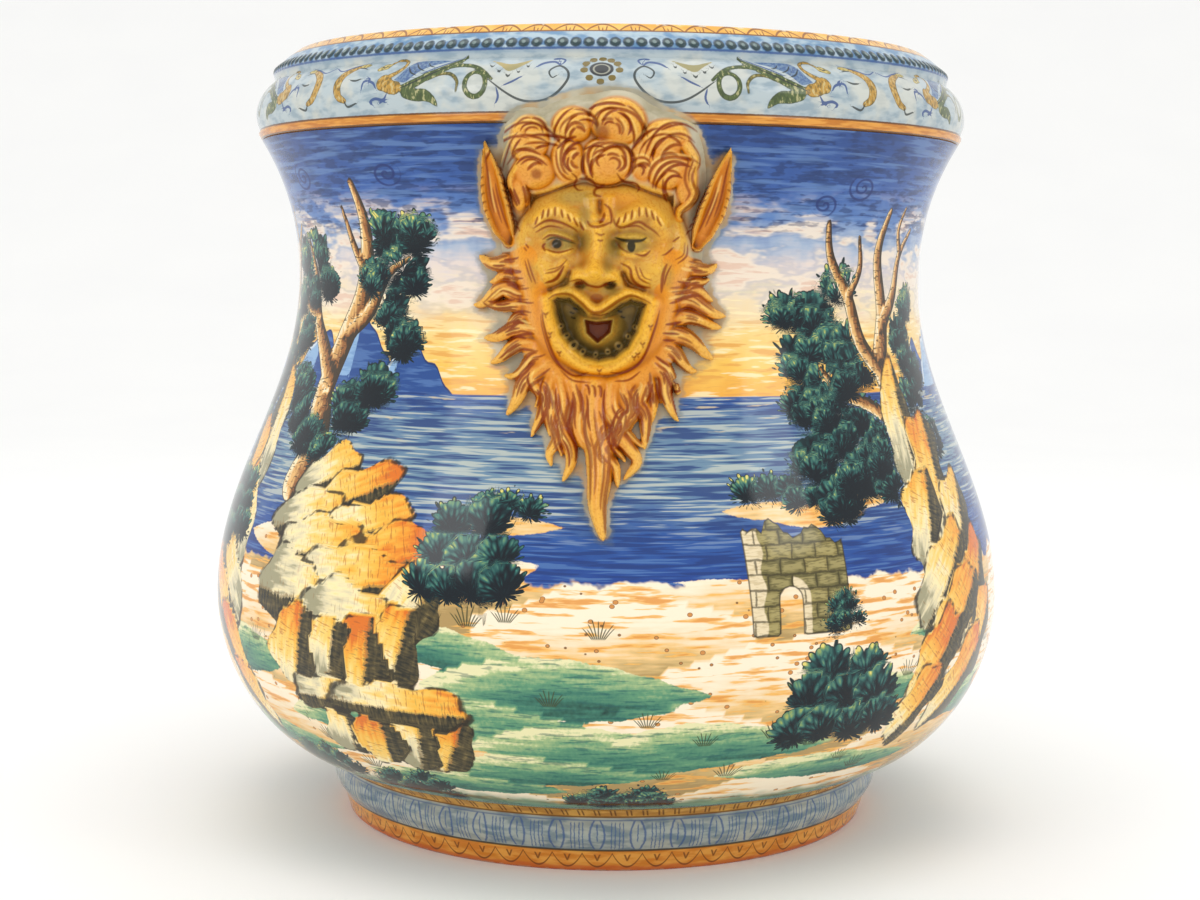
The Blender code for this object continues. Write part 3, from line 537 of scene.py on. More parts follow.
# Brown brush lines on the face, each with its width
FACE_LINES = [
    # curls drawn over the forehead
    ([(-12.2, 45.1), (-10, 43), (-11.1, 40.4), (-9.5, 38.3), (-7.4, 38.2)], 0.9),
    ([(-9, 42.8), (-4.2, 42.5), (-1.5, 39.6), (1.7, 40.7)], 0.9),
    ([(1.7, 39.9), (-2, 38.8), (-2.6, 36.5), (0.3, 35.5)], 1.2),
    ([(6.5, 45.1), (9.2, 42), (14, 41.2), (15.8, 39.4), (15, 37.5)], 1.0),
    ([(15.6, 48.8), (17.7, 46.7), (16.9, 44.1)], 1.1), ([(25.7, 43), (25.9, 37.8), (27.5, 33.6)], 1.0),
    ([(27, 42.5), (26.4, 38.6), (28, 36)], 1.6),
    # frown
    ([(1.2, 32.6), (3.8, 30.5), (4.7, 26.3), (4.1, 23.9)], 1.2),
    ([(-5.4, 25.6), (-4.2, 23.6), (-1.5, 22.9), (1.7, 23.7), (4.4, 25)], 1.3),
    ([(1.7, 28.9), (1.2, 26.3), (-0.4, 24.2)], 1.5), ([(-1.8, 20.4), (0.4, 19.6), (2.0, 20.2)], 0.8),
    ([(-1.0, 17.8), (0.2, 17.2), (1.4, 17.6)], 0.8),
    # brows
    ([(-28.2, 22.2), (-22.3, 25.4), (-17, 24.9), (-11.1, 22.3), (-9.2, 20.6)], 1.1),
    ([(-27.2, 20.6), (-21.5, 23.2), (-15.6, 22.4)], 0.7),
    ([(5.2, 27.3), (6.5, 23.9), (9.7, 22.9), (15.6, 25.2), (19.3, 23.4), (22.5, 21.3), (24.8, 19)], 1.2),
    ([(8, 22.4), (15, 23.6), (19, 21.6)], 0.7),
    # eyelids
    ([(-24.2, 17.6), (-20.7, 19.5), (-15.9, 18.6), (-10.4, 16.8)], 1.1),
    ([(-23.2, 13.8), (-17.2, 12.4), (-10.9, 14.1)], 0.8),
    ([(-22.8, 16.2), (-23.8, 14.8), (-22.6, 12.8)], 1.0),
    ([(14.2, 12.0), (18.2, 11.4), (21, 13.6)], 1.0), ([(6.4, 17.2), (8.6, 14.4), (12.4, 12.2)], 0.6),
    # nose
    ([(-12.7, 0.4), (-7.9, 1.2), (-4.7, -0.9), (-0.4, -1.7), (2.8, -0.4), (7.2, 1.1)], 1.0),
    ([(-5.8, 0.2), (-5.2, -0.8), (-4.4, -1.6)], 0.7),
    # folds beside the nose and on the cheeks
    ([(-14.1, 8.8), (-17.5, 5), (-22.6, 3.6)], 1.0), ([(-14.6, 7), (-17.9, 1.6), (-22.8, -0.4)], 1.4),
    ([(-13.4, 9.6), (-16.4, 6.6), (-21.6, 5)], 0.6),
    ([(8.4, 8.3), (12.4, 6), (13.4, 1.8), (16.6, -1.1), (21.2, -1.9)], 1.3),
    ([(14.5, 7.3), (16.6, 1.9), (21, -0.4)], 0.9), ([(16.4, 6.4), (18.2, 2.6), (21.4, 1.2)], 0.6),
    ([(-30.3, 9.9), (-28.5, 4.5), (-26.6, -0.8)], 0.8), ([(-31.5, 9.2), (-29.8, 4), (-28.2, -0.2)], 0.7),
    ([(27.8, 8.3), (26.2, 3.9), (25.5, -4.1)], 1.5), ([(29.6, 7.6), (27.6, 3.4), (26.6, -1)], 0.7),
    ([(36.4, 16), (35.8, 11.3), (32.1, 8.1)], 0.9), ([(35.2, 17), (34.6, 12), (31, 9.6)], 0.6),
    ([(-32, 14.6), (-31.3, 13.6), (-30.6, 12.8)], 0.7), ([(-31.4, 16), (-30.6, 15), (-29.8, 14)], 0.7),
    ([(30.5, 15), (27.4, 12.2), (25.6, 11.6)], 0.8), ([(33, 19.4), (31.5, 18.3), (30, 17.2)], 0.7),
    # lips
    ([(-21.4, -7), (-18.1, -5), (-12.2, -5), (-7.9, -8.1), (-3.6, -11.8), (0.1, -12.1), (4.4, -9.8),
      (8.1, -7.2), (12.9, -5.2), (17.7, -6.5), (21.5, -8.5)], 1.5),
    ([(-23.9, -11.2), (-22.9, -18.6), (-19.7, -29), (-15.9, -35.3), (-10, -38.8), (-4.2, -37.1)], 1.1),
    ([(-24.6, -13), (-23.6, -20), (-20.6, -29.6), (-16.5, -36)], 0.6),
    ([(24.9, -11.2), (23, -18.6), (19.3, -29), (15.6, -34.3), (9.7, -37.4), (4.4, -37.1)], 1.1),
    ([(17.2, -36.7), (12.4, -40.2), (6.5, -40.8)], 0.9), ([(-4.2, -12.9), (0.4, -13.4), (3.6, -12.6)], 0.8),
    ([(-16.4, -36.4), (-11, -40.6), (-3.5, -41.4)], 0.7),
    # chin
    ([(-6, -42.2), (-4.4, -43.2), (-3.8, -46.5)], 1.0), ([(-3.2, -42.4), (-1.8, -43.4), (-1.4, -47.5)], 1.2),
    ([(-0.6, -42.6), (0.8, -43.6), (1.0, -47.6)], 1.3),
]
# Brow hairs: their place and their lean
BROW_HAIRS = [
    (-26, 26.8, -0.5), (-23.6, 29.2, -0.3), (-21.4, 30, -0.2), (-18.8, 30.4, 0), (-16.2, 29.6, 0.3),
    (-13.6, 28, 0.5), (-11, 26.2, 0.7), (-8.6, 24.6, 0.7), (8, 26.4, -0.6), (10.6, 27.8, -0.4),
    (13.2, 29, -0.2), (16, 30.4, 0), (18.6, 30.2, 0.3), (21, 29, 0.5), (23.2, 26.6, 0.8),
]
TEETH = [
    (-10.9, -26.1, 1.9), (-7.1, -28.9, 1.3), (-1.8, -30.2, 1.1), (3.3, -29.0, 1.3), (7.8, -26.5, 1.8),
    (11.8, -22.4, 1.2), (14.6, -18.4, 1.1), (-13.9, -22.2, 1.3), (-16.2, -18.2, 1.1),
]
LIP_TICKS = [
    (-22.3, -12.8), (-20.5, -20.9), (-16.7, -28.8), (14.5, -30.3), (0.1, -36.1), (21.2, -17.5), (18, -24.8),
    (-21, -22.5), (16, -29),
]
MOUTH_TICKS = [(-10.6, -11.0), (-11.9, -12.8), (-11.4, -14.9), (8.2, -12.0), (9.4, -14.4)]
# Soft patches of colour: middle, half width, half height and amount. The olive ones are painted shade in the
# eye sockets, on the brow, beside and under the nose and in the folds of the cheeks
OLIVE_PAINTED_SHADE = [
    (-11, 35.5, 8, 3, 0.55), (-6.6, 27.5, 2.5, 5, 0.5), (-6.5, 17, 3, 4, 0.55), (5.6, 14.5, 3, 5, 0.7),
    (3.6, 8.0, 2, 4, 0.5), (-6.5, -1.6, 3, 1.6, 0.6), (4.5, -3.2, 4, 1.8, 0.6), (-28, 3, 2.5, 5, 0.4),
    (28, 3, 2.5, 5, 0.45), (-14, -1, 3, 4, 0.4), (-15, 18, 9, 4.4, 0.55), (14, 18, 9, 4.2, 0.55),
]
ORANGE_FLUSHES = [
    (8, 34, 9, 3.4, 0.6), (2.6, 29, 2.6, 4.5, 0.6), (25, 15, 4, 6, 0.45), (-25.5, 14.5, 2.6, 4, 0.5),
    (0, -37.5, 14, 2.6, 0.5), (-21, -18, 2.4, 9, 0.35), (21, -20, 2.4, 9, 0.35), (-3, 9, 4, 6, 0.25),
]


def model_face(clay):
    edge = inside(clay.x, clay.z, FACE_EDGE)
    dome = 1 - (clay.x / 41) ** 2 - (clay.z / 52) ** 2
    front = WAIST_R - 2 + 21 * np.sqrt(np.clip(dome, 0.03, None))
    front = front - np.where(edge < 3, 0.11 * (3 - edge) ** 2, 0)
    clay.depth = np.where(edge > -9, smooth_max(clay.depth, front, 3.0), clay.depth)
    clay.paint["straw"] = np.clip(edge / 5 + 0.5, 0, 1)
    for points, width, height, ends in FACE_RIDGES[:-2]:
        clay.ridge(points, width, height, ends)
    for x, z, wide, high, rise in FACE_SWELLINGS:
        clay.bump(x, z, wide, high, rise)
    for points, width, height, ends in FACE_RIDGES[-2:]:
        clay.ridge(points, width, height, ends)
    clay.depth -= 11.5 * eased(inside(clay.x, clay.z, MOUTH) / 3.6)
    clay.bump(-1.0, -19.0, 8.5, 8.0, 5.5, power=2.0)
    clay.depth -= 4.5 * np.clip(inside(clay.x, clay.z, THROAT) / 1.6 + 0.2, 0, 1)


def bundle(clay, points, width, rise, rng):
    """A lock with a shorter strand on each side of it, which leaves it towards the tip."""
    line = smooth_line(points)
    share = np.linspace(0, 1, len(line))[:, None]
    for side in (-1, 1):
        reach = rng.uniform(0.62, 0.86)
        away = side * width * (0.45 + 0.30 * share + 0.5 * share**3)
        path = (line + sideways(line) * away)[: int(reach * len(line))]
        clay.lock(np.vstack([path[::5], path[-1:]]), 0.62 * width, 0.82 * rise, rng, strokes=2, hold=0.5)
    clay.lock(points, width, rise, rng, hold=0.6)


def model_beard(clay, rng):
    for points, width, rise in BEARD:
        phase = rng.uniform(0, 6)
        waved = [(x + 1.5 * math.sin(0.27 * z + phase), z) for x, z in points]
        bundle(clay, waved, 1.3 * width, rise, rng)
    clay.lock(*BEARD_TIP, rng, strokes=7)
    half = 7.5
    w, away, _ = clay.along(CHIN_BAND, 9)
    round_band = 8.5 * np.sqrt(np.clip(1 - (away / half) ** 2, 0, 1))
    clay.join(w, round_band - np.where(abs(away) > half, 3 + abs(away), 0), 2.0)
    clay.lay("ochre", w, 0.75 * np.clip((half - abs(away)) / 3, 0, 1))


def curled(points, rng):
    """A whisker's line, with a curl like a flame's towards its tip."""
    line = smooth_line(points)
    share = np.linspace(0, 1, len(line))
    curl = rng.uniform(1.4, 2.4) * np.sin(2 * math.pi * (share - 0.12)) * share**0.6
    return (line + np.stack([0 * curl, curl], axis=1))[::3]


def model_ear(clay, spine):
    line = smooth_line(spine)
    w, away, share = clay.along(spine, 12)
    half = 6.1 * np.interp(share, [0, 0.12, 0.35, 0.6, 0.85, 1.0], [0.45, 0.8, 1.0, 0.86, 0.42, 0.06])
    u = abs(away / half)
    rim = np.exp(-(((u - 0.84) / 0.22) ** 2))
    ends = np.interp(share, [0, 0.1, 0.9, 1], [0.75, 1, 0.62, 0.3])
    rise = (8.0 + 4.5 * np.sin(share * math.pi * 0.9)) * ends
    shell = rise * (0.55 + 0.45 * rim) * np.clip((1 - u) * 7, 0, 1) ** 0.35
    clay.join(w, np.where(u < 1, shell, HIDDEN - 3 * (u - 1)), 1.2)
    clay.lay("ochre", w, np.clip((1.05 - u) * half / 0.9 + 0.5, 0, 1))
    side = -1 if spine[0][0] < 0 else 1
    for across, first, last in ((0.35, 0.1, 0.7), (-0.3, 0.3, 0.95), (0.05, 0.2, 0.6)):
        clay.comb("brown", clay.strand(line, 5.4, 0.1, 0.4, side * across, first, last), 0.9, 0.85)
    for across, lean in ((0.9, -1.5), (-0.75, 1.2)):
        for x, z in clay.strand(line, 5.4, 0.1, 0.4, side * across, 0.1, 0.85)[::2]:
            tick = [(x, z), (x + side * lean, z - 0.8), (x + 1.7 * side * lean, z - 2.4)]
            clay.stroke("brown", tick, 0.8, 0.85)
    clay.comb("pale", clay.strand(line, 5.4, 0.1, 0.4, 0.15, 0.3, 0.8), 0.9, 0.9)


def model_hair(clay, rng):
    # the hood of clay behind the curls, which starts above the forehead
    q = (clay.x / 39.5) ** 2 + ((clay.z - 44) / 30.5) ** 2
    hood = 8.5 * np.clip(1 - q, 0, 1) ** 0.4 - np.where(q > 1, 26 * (np.sqrt(q) - 1), 0)
    hairline = np.clip((clay.z - 36 - 4 * np.cos(clay.x / 9)) / 5, 0, 1)
    hood = np.where(abs(clay.x) > 30, hood, hood * hairline - 6 * (1 - hairline))
    clay.depth = np.where(clay.z > 26, smooth_max(clay.depth, clay.wall + hood, 2.4), clay.depth)
    clay.paint["straw"] *= np.clip((45 - clay.z) / 5, 0, 1)
    for lobe in HAIR_LOBES:
        clay.lobe(*lobe)
    for points, width, rise in TEMPLE_CURLS:
        clay.lock(points, width, rise, rng, strokes=3 if width > 2.5 else 2, hold=0.35)
    for swirl in HAIR_SWIRLS:
        clay.swirl(*swirl, rng)
    # painted shade: brown and dark patches in the deep middle of the top curls
    clay.spot("brown", 1.0, 60.8, 2.6, 3.6, 0.7, 2.0)
    clay.spot("dark", -1.6, 63.0, 1.2, 3.4, 0.5, 1.6)
    clay.spot("brown", -26.6, 44.5, 2.2, 2.0, 0.7, 1.2)


def paint_eyes_and_nose(clay):
    clay.spot("green", -17.0, 15.8, 6.4, 2.6, 0.8, 1.4)
    clay.spot("green", 13.4, 15.2, 6.4, 2.8, 0.7, 1.4)
    clay.spot("brown", -18.2, 15.9, 3.0, 2.4, 0.5, 0.8)
    clay.spot("dark", -18.0, 15.9, 2.1, 1.9, 1.0, 0.4)
    # a painted highlight: a pale glint on the left pupil
    clay.spot("pale", -17.4, 16.6, 0.75, 0.75, 1.0, 0.3)
    clay.stroke("dark", [(-22.6, 17.4), (-19.0, 18.4), (-14.6, 17.4), (-10.2, 16.0)], 1.2, 0.8)
    clay.stroke("dark", [(6.0, 18.8), (10.2, 17.5), (16.6, 17.5), (19.2, 18.8)], 1.5)
    clay.spot("dark", 12.9, 15.2, 1.7, 2.6, 1.0, 0.4)
    clay.spot("brown", -8.4, -0.1, 1.9, 1.0, 0.8, 0.6)
    clay.spot("dark", 5.3, -0.5, 1.9, 1.2, 0.8, 0.7)
    clay.spot("brown", -1.2, -6.4, 2.7, 2.0, 0.55, 0.5)


def paint_mouth(clay):
    depth = inside(clay.x, clay.z, MOUTH)
    inner = np.clip((depth - 0.3) / 2.2, 0, 1)
    far = np.clip((np.hypot((clay.x + 0.5) / 12.5, (clay.z + 18) / 11.5) - 0.62) / 0.25, 0, 1)
    shade = 0.62 * inner * far * np.clip((-8 - clay.z) / 6, 0.25, 1)
    clay.paint["dark"] = np.maximum(clay.paint["dark"], shade)
    clay.paint["green"] = np.maximum(clay.paint["green"], 0.7 * inner)
    clay.wash("brown", THROAT, 1.0, 0.8)
    clay.wash("dark", THROAT, 0.45, 1.6)
    tongue = 0.9 * np.exp(-(((inside(clay.x, clay.z, THROAT) + 1.6) / 1.0) ** 2))
    clay.paint["ochre"] = np.maximum(clay.paint["ochre"], tongue)
    for x, z, radius in TEETH:
        clay.bump(x, z, 1.2 * radius, 1.2 * radius, 1.6)
        clay.spot("pale", x, z, radius, radius, 0.9, 0.4)
        clay.spot("dark", x, z, 0.5 * radius, 0.5 * radius, 1.0, 0.3)
        clay.paint["green"][np.hypot(clay.x - x, clay.z - z) < 1.05 * radius] = 0
    for x, z in MOUTH_TICKS:
        clay.stroke("dark", [(x - 1.0, z + 0.5), (x, z), (x + 1.3, z - 0.2)], 1.1)
    for x, z in LIP_TICKS:
        clay.stroke("brown", [(x - 1.1, z + 0.4), (x, z - 0.5), (x + 1.1, z + 0.5)], 0.9, 0.9)
        clay.stroke("brown", [(x - 0.2, z - 1.0), (x + 0.1, z - 1.5), (x + 0.4, z - 2.0)], 0.7, 0.8)


def sculpt_mask(x, z):
    """The whole mask as one relief, on arrays of places."""
    rng = np.random.default_rng(4)
    clay = Clay(x, z)
    model_face(clay)
    for points, width, rise in LEFT_WHISKERS + RIGHT_WHISKERS:
        clay.lock(curled(points, rng), 1.14 * width, rise, rng, strokes=6, hold=0.6, tip=0.12)
    model_beard(clay, rng)
    model_ear(clay, LEFT_EAR)
    model_ear(clay, RIGHT_EAR)
    model_hair(clay, rng)
    for points, width in FACE_LINES:
        clay.stroke("brown", points, width, rng.uniform(0.8, 1.0), groove=0.25)
    for x, z, lean in BROW_HAIRS:
        root = rng.uniform(0.2, 1.2)
        hair = [(x, z + root), (x + 1.2 * lean, z - 1.4), (x + 2.8 * lean, z - 3.2)]
        beside = [(x + 1.2, z + 0.6), (x + 1.3 + 1.3 * lean, z - 1.4), (x + 1.3 + 2.2 * lean, z - 2.6)]
        clay.stroke("brown", hair, 1.0, 0.9, groove=0.3)
        clay.stroke("pale", beside, 0.9, 0.8)
    paint_eyes_and_nose(clay)
    paint_mouth(clay)
    # olive patches of painted shade, then orange flushes
    for paint, spots in (("green", OLIVE_PAINTED_SHADE), ("ochre", ORANGE_FLUSHES)):
        for x, z, wide, high, amount in spots:
            clay.spot(paint, x, z, wide, high, amount, 0.9 * min(wide, high))
    # the relief runs out into the wall in a small fillet
    fillet = 1.1
    height = clay.depth - clay.wall
    risen = 0.5 * (height + np.sqrt(height**2 + 4 * fillet**2))
    clay.depth = clay.wall + risen - 0.45 - 0.5 * np.clip(-2.2 - height, 0, 2)
    # how far each place lies below its blurred surroundings: paint pools in the hollows and thins on the
    # crests, and the glaze also paints shade into the hollows and highlights onto the crests
    clay.paint["pool"] = np.clip((blurred(clay.depth, 26) - clay.depth) * 0.9, -1, 1)
    return clay


# Painting on a turned wall: fields of distance and tone at the points of its mesh, in millimetres

UNPAINTED = -30.0


class Canvas:
    """A turned surface to paint on. A field is above zero inside its motif, and tones shade the motif."""

    def __init__(self, mesh, outside):
        x, y, z = read_places(mesh.vertices, "co").astype(float).T / MM
        self.mesh, self.x, self.z = mesh, x, z
        self.front = y < 0
        self.radius = np.hypot(x, y)
        self.azimuth = np.degrees(np.arctan2(x, -y))
        along = np.concatenate([[0], np.cumsum(np.hypot(*np.diff(outside, axis=0).T))])
        self.heights, self.lengths = outside[::-1, 1], along[-1] - along[::-1]
        self.up = np.interp(z, self.heights, self.lengths)
        self.fields = {}

    def field(self, name, value=UNPAINTED):
        return self.fields.setdefault(name, np.full(len(self.x), value))

    def near(self, azimuth, height, reach):
        """The points near a place, and how far they lie from it round the pot and up the wall."""
        turn = (self.azimuth - azimuth + 180) % 360 - 180
        x = np.radians(turn) * self.radius
        y = self.up - np.interp(height, self.heights, self.lengths)
        chosen = np.flatnonzero((abs(x) < reach) & (abs(y) < reach))
        return chosen, x[chosen], y[chosen]

    def cover(self, name, chosen, depth, behind=(), **tones):
        """Adds a motif by its inside distance, with its tones, and clears what it hides."""
        field = self.field(name)
        top = (depth > 0) | (depth > field[chosen])
        for tone, value in tones.items():
            values = self.field(tone, 0.0)
            values[chosen] = np.where(top, value, values[chosen])
        field[chosen] = np.maximum(field[chosen], depth)
        for other in behind:
            hidden = self.field(other)
            hidden[chosen] = np.minimum(hidden[chosen], -depth)

    def line(self, ink, azimuth, height, points, width):
        """A brush line, tapered at its ends: how far a point is to its side, in its half widths, and away."""
        chosen, x, y = self.near(azimuth, height, abs(points).max() + 8)
        away, share = nearest(x, y, smooth_line(points))
        half = width / 2 * (0.25 + 0.75 * np.clip(4 * share * (1 - share), 0, 1) ** 0.5)
        sides, gaps = self.field(ink + "_side", -UNPAINTED), self.field(ink + "_away", -UNPAINTED)
        gap = abs(away) - half
        nearer = gap < gaps[chosen]
        sides[chosen] = np.where(nearer, away / half, sides[chosen])
        gaps[chosen] = np.where(nearer, gap, gaps[chosen])

    def store(self):
        for name, values in self.fields.items():
            store(self.mesh, name, values)


# Motifs of the landscape


def turn_of(x, height):
    """The degrees that x millimetres take round the wall at a height."""
    return math.degrees(x / float(body_radius(height)))


def mountain(wall, azimuth, height, half_width, rise, rng):
    chosen, x, y = wall.near(azimuth, height, half_width + 20)
    jagged = 0
    for finer in (0.16, 0.31, 0.6):
        jagged = jagged + rng.uniform(0.4, 1.0) * np.sin(x * finer + rng.uniform(0, 6)) / finer**0.5
    top = rise * np.clip(1 - (abs(x) / half_width) ** 1.2, -1, 1) + 1.2 * jagged
    sides = np.clip((x + 2.5 * jagged + 0.25 * (top - y)) / 4, -1, 1)
    depth = np.minimum(top - y, y + 14) * 0.8
    wall.cover("mountain", chosen, depth, mountain_side=sides, mountain_rise=top - y)


def slab(wall, azimuth, height, wide, high, rng, turn, warm, flip):
    """A slab of rock with an uneven outline: lit on its upper side, dark below, and warm at its tip."""
    wide, high = 0.9 * wide, 1.2 * high
    chosen, x, y = wall.near(azimuth, height, 1.3 * max(wide, high) + 8)
    x, y = turned_by(flip * x, y, turn)
    under = np.where(y < 0, 0.8, 1.0) * high * (1 + 0.16 * np.sin(x * 0.21 + rng.uniform(0, 6)))
    angle = np.arctan2(y / high, x / wide)
    uneven = 1 + 0.07 * np.sin(3 * angle + rng.uniform(0, 6))
    uneven = uneven + 0.05 * np.sin(7 * angle + rng.uniform(0, 6))
    q = (abs(x / wide) ** 2.3 + abs(y / under) ** 2.3) ** (1 / 2.3) / uneven
    depth = (1 - q) * high
    lit = 0.80 + 0.22 * y / high - 1.5 * np.clip(0.02 - y / high, 0, 1) - 0.2 * np.clip(-x / wide, 0, 1)
    wall.cover(
        "rock", chosen, depth, behind=("wood", "leaf", "brick"),
        rock_tone=lit, rock_warm=warm * 0.7 + 0.42 * x / wide, rock_x=x + 60 * rng.uniform(), rock_y=y,
    )
    edge = wall.field("rock_edge", -UNPAINTED)
    edge[chosen] = np.where(depth > 0, depth, np.minimum(edge[chosen], -depth))


def outcrop(wall, azimuth, height, slabs, rng, flip):
    """A pile of slabs, from the back ones to the front ones: place, half sizes, turn and warmth."""
    for x, y, wide, high, turn, warm in slabs:
        slab(wall, azimuth + turn_of(flip * x, height), height + y, wide, high, rng, turn, warm, flip)


def tower(wall, azimuth, height, wide, high, door, rng, flip):
    """The stump of a stone tower with a broken top and a doorway, pale on its lit side."""
    chosen, x, y = wall.near(azimuth, height + high / 2, wide + high)
    x, y = flip * x, y + high / 2
    broken = 2.4 * np.sign(np.sin(x * 0.33 + rng.uniform(0, 6))) + 1.2 * np.sin(x * 0.9) - 0.16 * x
    from_arch = np.hypot(x - door, np.maximum(y - 15, 0))
    depth = np.minimum(np.minimum(wide - abs(x + 0.04 * y), high + broken - y), y)
    depth = np.minimum(depth, from_arch - 5.5)
    lit = np.maximum(6 + np.sin(0.4 * y) - (x + wide), np.where(x > door, 2.2 - abs(from_arch - 7.4), -9))
    wall.cover("brick", chosen, depth, behind=("leaf", "wood"), brick_x=x, brick_y=y, brick_lit=lit)


def branch(wall, azimuth, height, points, half_widths, flip):
    points = np.array(points, float) * (flip, 1)
    chosen, x, y = wall.near(azimuth, height, abs(points).max() + 14)
    away, share = nearest(x, y, smooth_line(points))
    half = width_along(share, half_widths)
    wall.cover("wood", chosen, half - abs(away), behind=("leaf",), wood_side=np.clip(away / half, -3, 3))


def clump(wall, azimuth, height, size, rng, dusk):
    """A tuft of foliage, whose leaves fan out from below its middle."""
    wide, high = size, 0.82 * size
    chosen, x, y = wall.near(azimuth, height, 1.6 * size + 4)
    x, y = turned_by(x, y, rng.uniform(-25, 25))
    depth = (1 - np.hypot(x / wide, y / high)) * high
    seed, dusk = rng.uniform(0, 40), dusk + rng.uniform(-0.12, 0.12)
    places = {"leaf_x": x / wide, "leaf_y": y / high + 0.25}
    wall.cover("leaf", chosen, depth, leaf_seed=seed, leaf_dusk=dusk, **places)


def crown(wall, azimuth, height, clumps, rng, flip):
    """The clumps of a tree, each a dark tuft with lighter ones in front: place, size and dusk."""
    for x, y, size, dusk in clumps:
        around = turn_of(flip * x, height)
        clump(wall, azimuth + around, height + y, 1.1 * size, rng, dusk + 0.22)
        for lean in (-0.55, 0.5, -0.1):
            side = around + turn_of(lean * size, height)
            lift = size * rng.uniform(-0.45, 0.35)
            clump(wall, azimuth + side, height + y + lift, 0.68 * size, rng, dusk)


def bush(wall, azimuth, height, wide, high, rng, dusk):
    """A low bush: rows of clumps, each row in front of the one above it."""
    for row, count in enumerate((2, 3, 4)):
        level = high * (0.75 - 0.42 * row)
        for k in range(count):
            x = wide * (0.62 + 0.16 * row) * ((k + 0.5) / count * 2 - 1) + rng.uniform(-1.5, 1.5)
            size = 0.36 * (wide + high) / 2 + rng.uniform(0.5, 2.0)
            place = azimuth + turn_of(x, height)
            clump(wall, place, height + level + rng.uniform(-1.5, 1.5), size, rng, dusk)


def mound(wall, azimuth, height, half_width, rise, rng, lean):
    """A green swell of ground: pale at its upper left, and drawn out to a dark point on its right."""
    chosen, x, y = wall.near(azimuth, height, half_width + 12)
    share = np.clip((x / half_width + 1) / 2, -0.2, 1.2)
    bell = np.sin(math.pi * np.clip(share, 0, 1) ** 0.75)
    past = 40 * np.clip(abs(share - 0.5) - 0.5, 0, 1)
    slope = lean * (share - 0.5) * 2
    top = rise * bell + slope - past
    foot = -0.55 * rise * np.sin(math.pi * np.clip(share, 0, 1) ** 1.2) + slope + past
    depth = np.minimum(top - y, y - foot) + 0.4 * np.sin(x * 0.35 + rng.uniform(0, 6))
    tone = (top - y) / (1.5 * rise) + 0.5 * share**2 - 0.08
    wall.cover("green", chosen, depth, behind=("rock", "wood", "leaf", "brick"), green_tone=tone)


def ledge(wall, azimuth, height, half_width, drop, rng):
    """A bank of sand that hides what lies behind its top edge."""
    chosen, x, y = wall.near(azimuth, height, half_width + 12)
    across = x / half_width
    bell = np.clip(1 - across**2, -1, 1)
    top = 3.0 * np.cos(across * 2.2 + rng.uniform(0, 6)) + 0.35 * drop * (bell - 1)
    depth = np.minimum(top - y, y + 0.8 * drop * bell)
    wall.cover("bank", chosen, depth, bank_tone=(top - y) / drop)


def grass(wall, azimuth, height, size):
    """A tuft of grass, as places in it, for the blades that the glaze draws."""
    chosen, x, y = wall.near(azimuth, height, 1.5 * size)
    depth = 0.9 * size - np.hypot(x, y - 0.4 * size)
    wall.cover("grass", chosen, depth, grass_x=x / size, grass_y=y / size)


def cloud_curl(wall, azimuth, height, size, flip):
    """A curl of cloud, as places in it, for the spiral that the glaze draws."""
    chosen, x, y = wall.near(azimuth, height, 1.4 * size)
    y = y / 0.7
    wall.cover("curl", chosen, size - np.hypot(x, y), curl_x=flip * x, curl_y=y)


# The landscape: a lake between mountains and a sandy shore, with trees, rocks and bushes

FAR_SHORE_Z, NEAR_SHORE_Z = 214, 138
LAKE_BASE_Z, LAKE_HEIGHT, SKY_HEIGHT = 134, 80, 113
# Trees: each branch's line and its half widths. Crowns: place, size and dusk of each clump
LEANING_TREE = [
    ([(0, 0), (4, 20), (-2, 42), (4, 66), (15, 90), (18, 116), (14, 138)],
     (10.5, 8.8, 7.4, 6.6, 5.4, 4.0, 2.0)),
    ([(0, 48), (-12, 62), (-24, 76), (-30, 96), (-38, 112)], (5.6, 4.8, 3.8, 2.8, 1.2)),
    ([(6, 70), (20, 80), (30, 96), (44, 104)], (4.4, 3.6, 2.6, 1.0)),
    ([(-25, 78), (-40, 82), (-50, 94)], (3.0, 2.2, 1.0)),
    ([(17, 96), (8, 110), (2, 128)], (2.8, 2.0, 0.9)),
]
LEANING_CROWN = [
    (-52, 84, 13, 0.1), (-34, 100, 14, 0.0), (34, 110, 13, 0.0), (48, 94, 13, 0.1), (-44, 64, 12, 0.2),
    (38, 78, 11, 0.15), (-58, 102, 11, 0.0), (56, 110, 11, 0.0), (-56, 48, 12, 0.2), (50, 64, 11, 0.15),
    (-30, 40, 14, 0.2), (-14, 30, 13, 0.25), (22, 34, 14, 0.2), (38, 44, 12, 0.15), (-46, 30, 12, 0.2),
]
LEANING_FRONT = [
    (-18, 88, 10, 0.1), (26, 92, 10, 0.05), (-38, 84, 9, 0.1), (-4, 20, 12, 0.15), (14, 14, 11, 0.1),
]
FORKED_TREE = [
    ([(0, 0), (-4, 24), (2, 46), (-2, 70), (6, 96), (2, 122), (8, 142)],
     (10.0, 8.4, 7.2, 6.0, 4.8, 3.6, 1.8)),
    ([(0, 66), (-14, 82), (-20, 102), (-32, 120), (-36, 136)], (5.2, 4.4, 3.6, 2.6, 1.4)),
    ([(4, 90), (18, 104), (24, 122), (36, 134)], (4.2, 3.4, 2.4, 1.2)),
    ([(-3, 44), (-18, 54), (-34, 60), (-44, 72)], (4.4, 3.6, 2.6, 1.4)),
    ([(-20, 104), (-12, 116), (-14, 130)], (2.4, 1.8, 1.0)),
    ([(24, 124), (20, 134), (24, 144)], (2.2, 1.6, 1.0)),
]
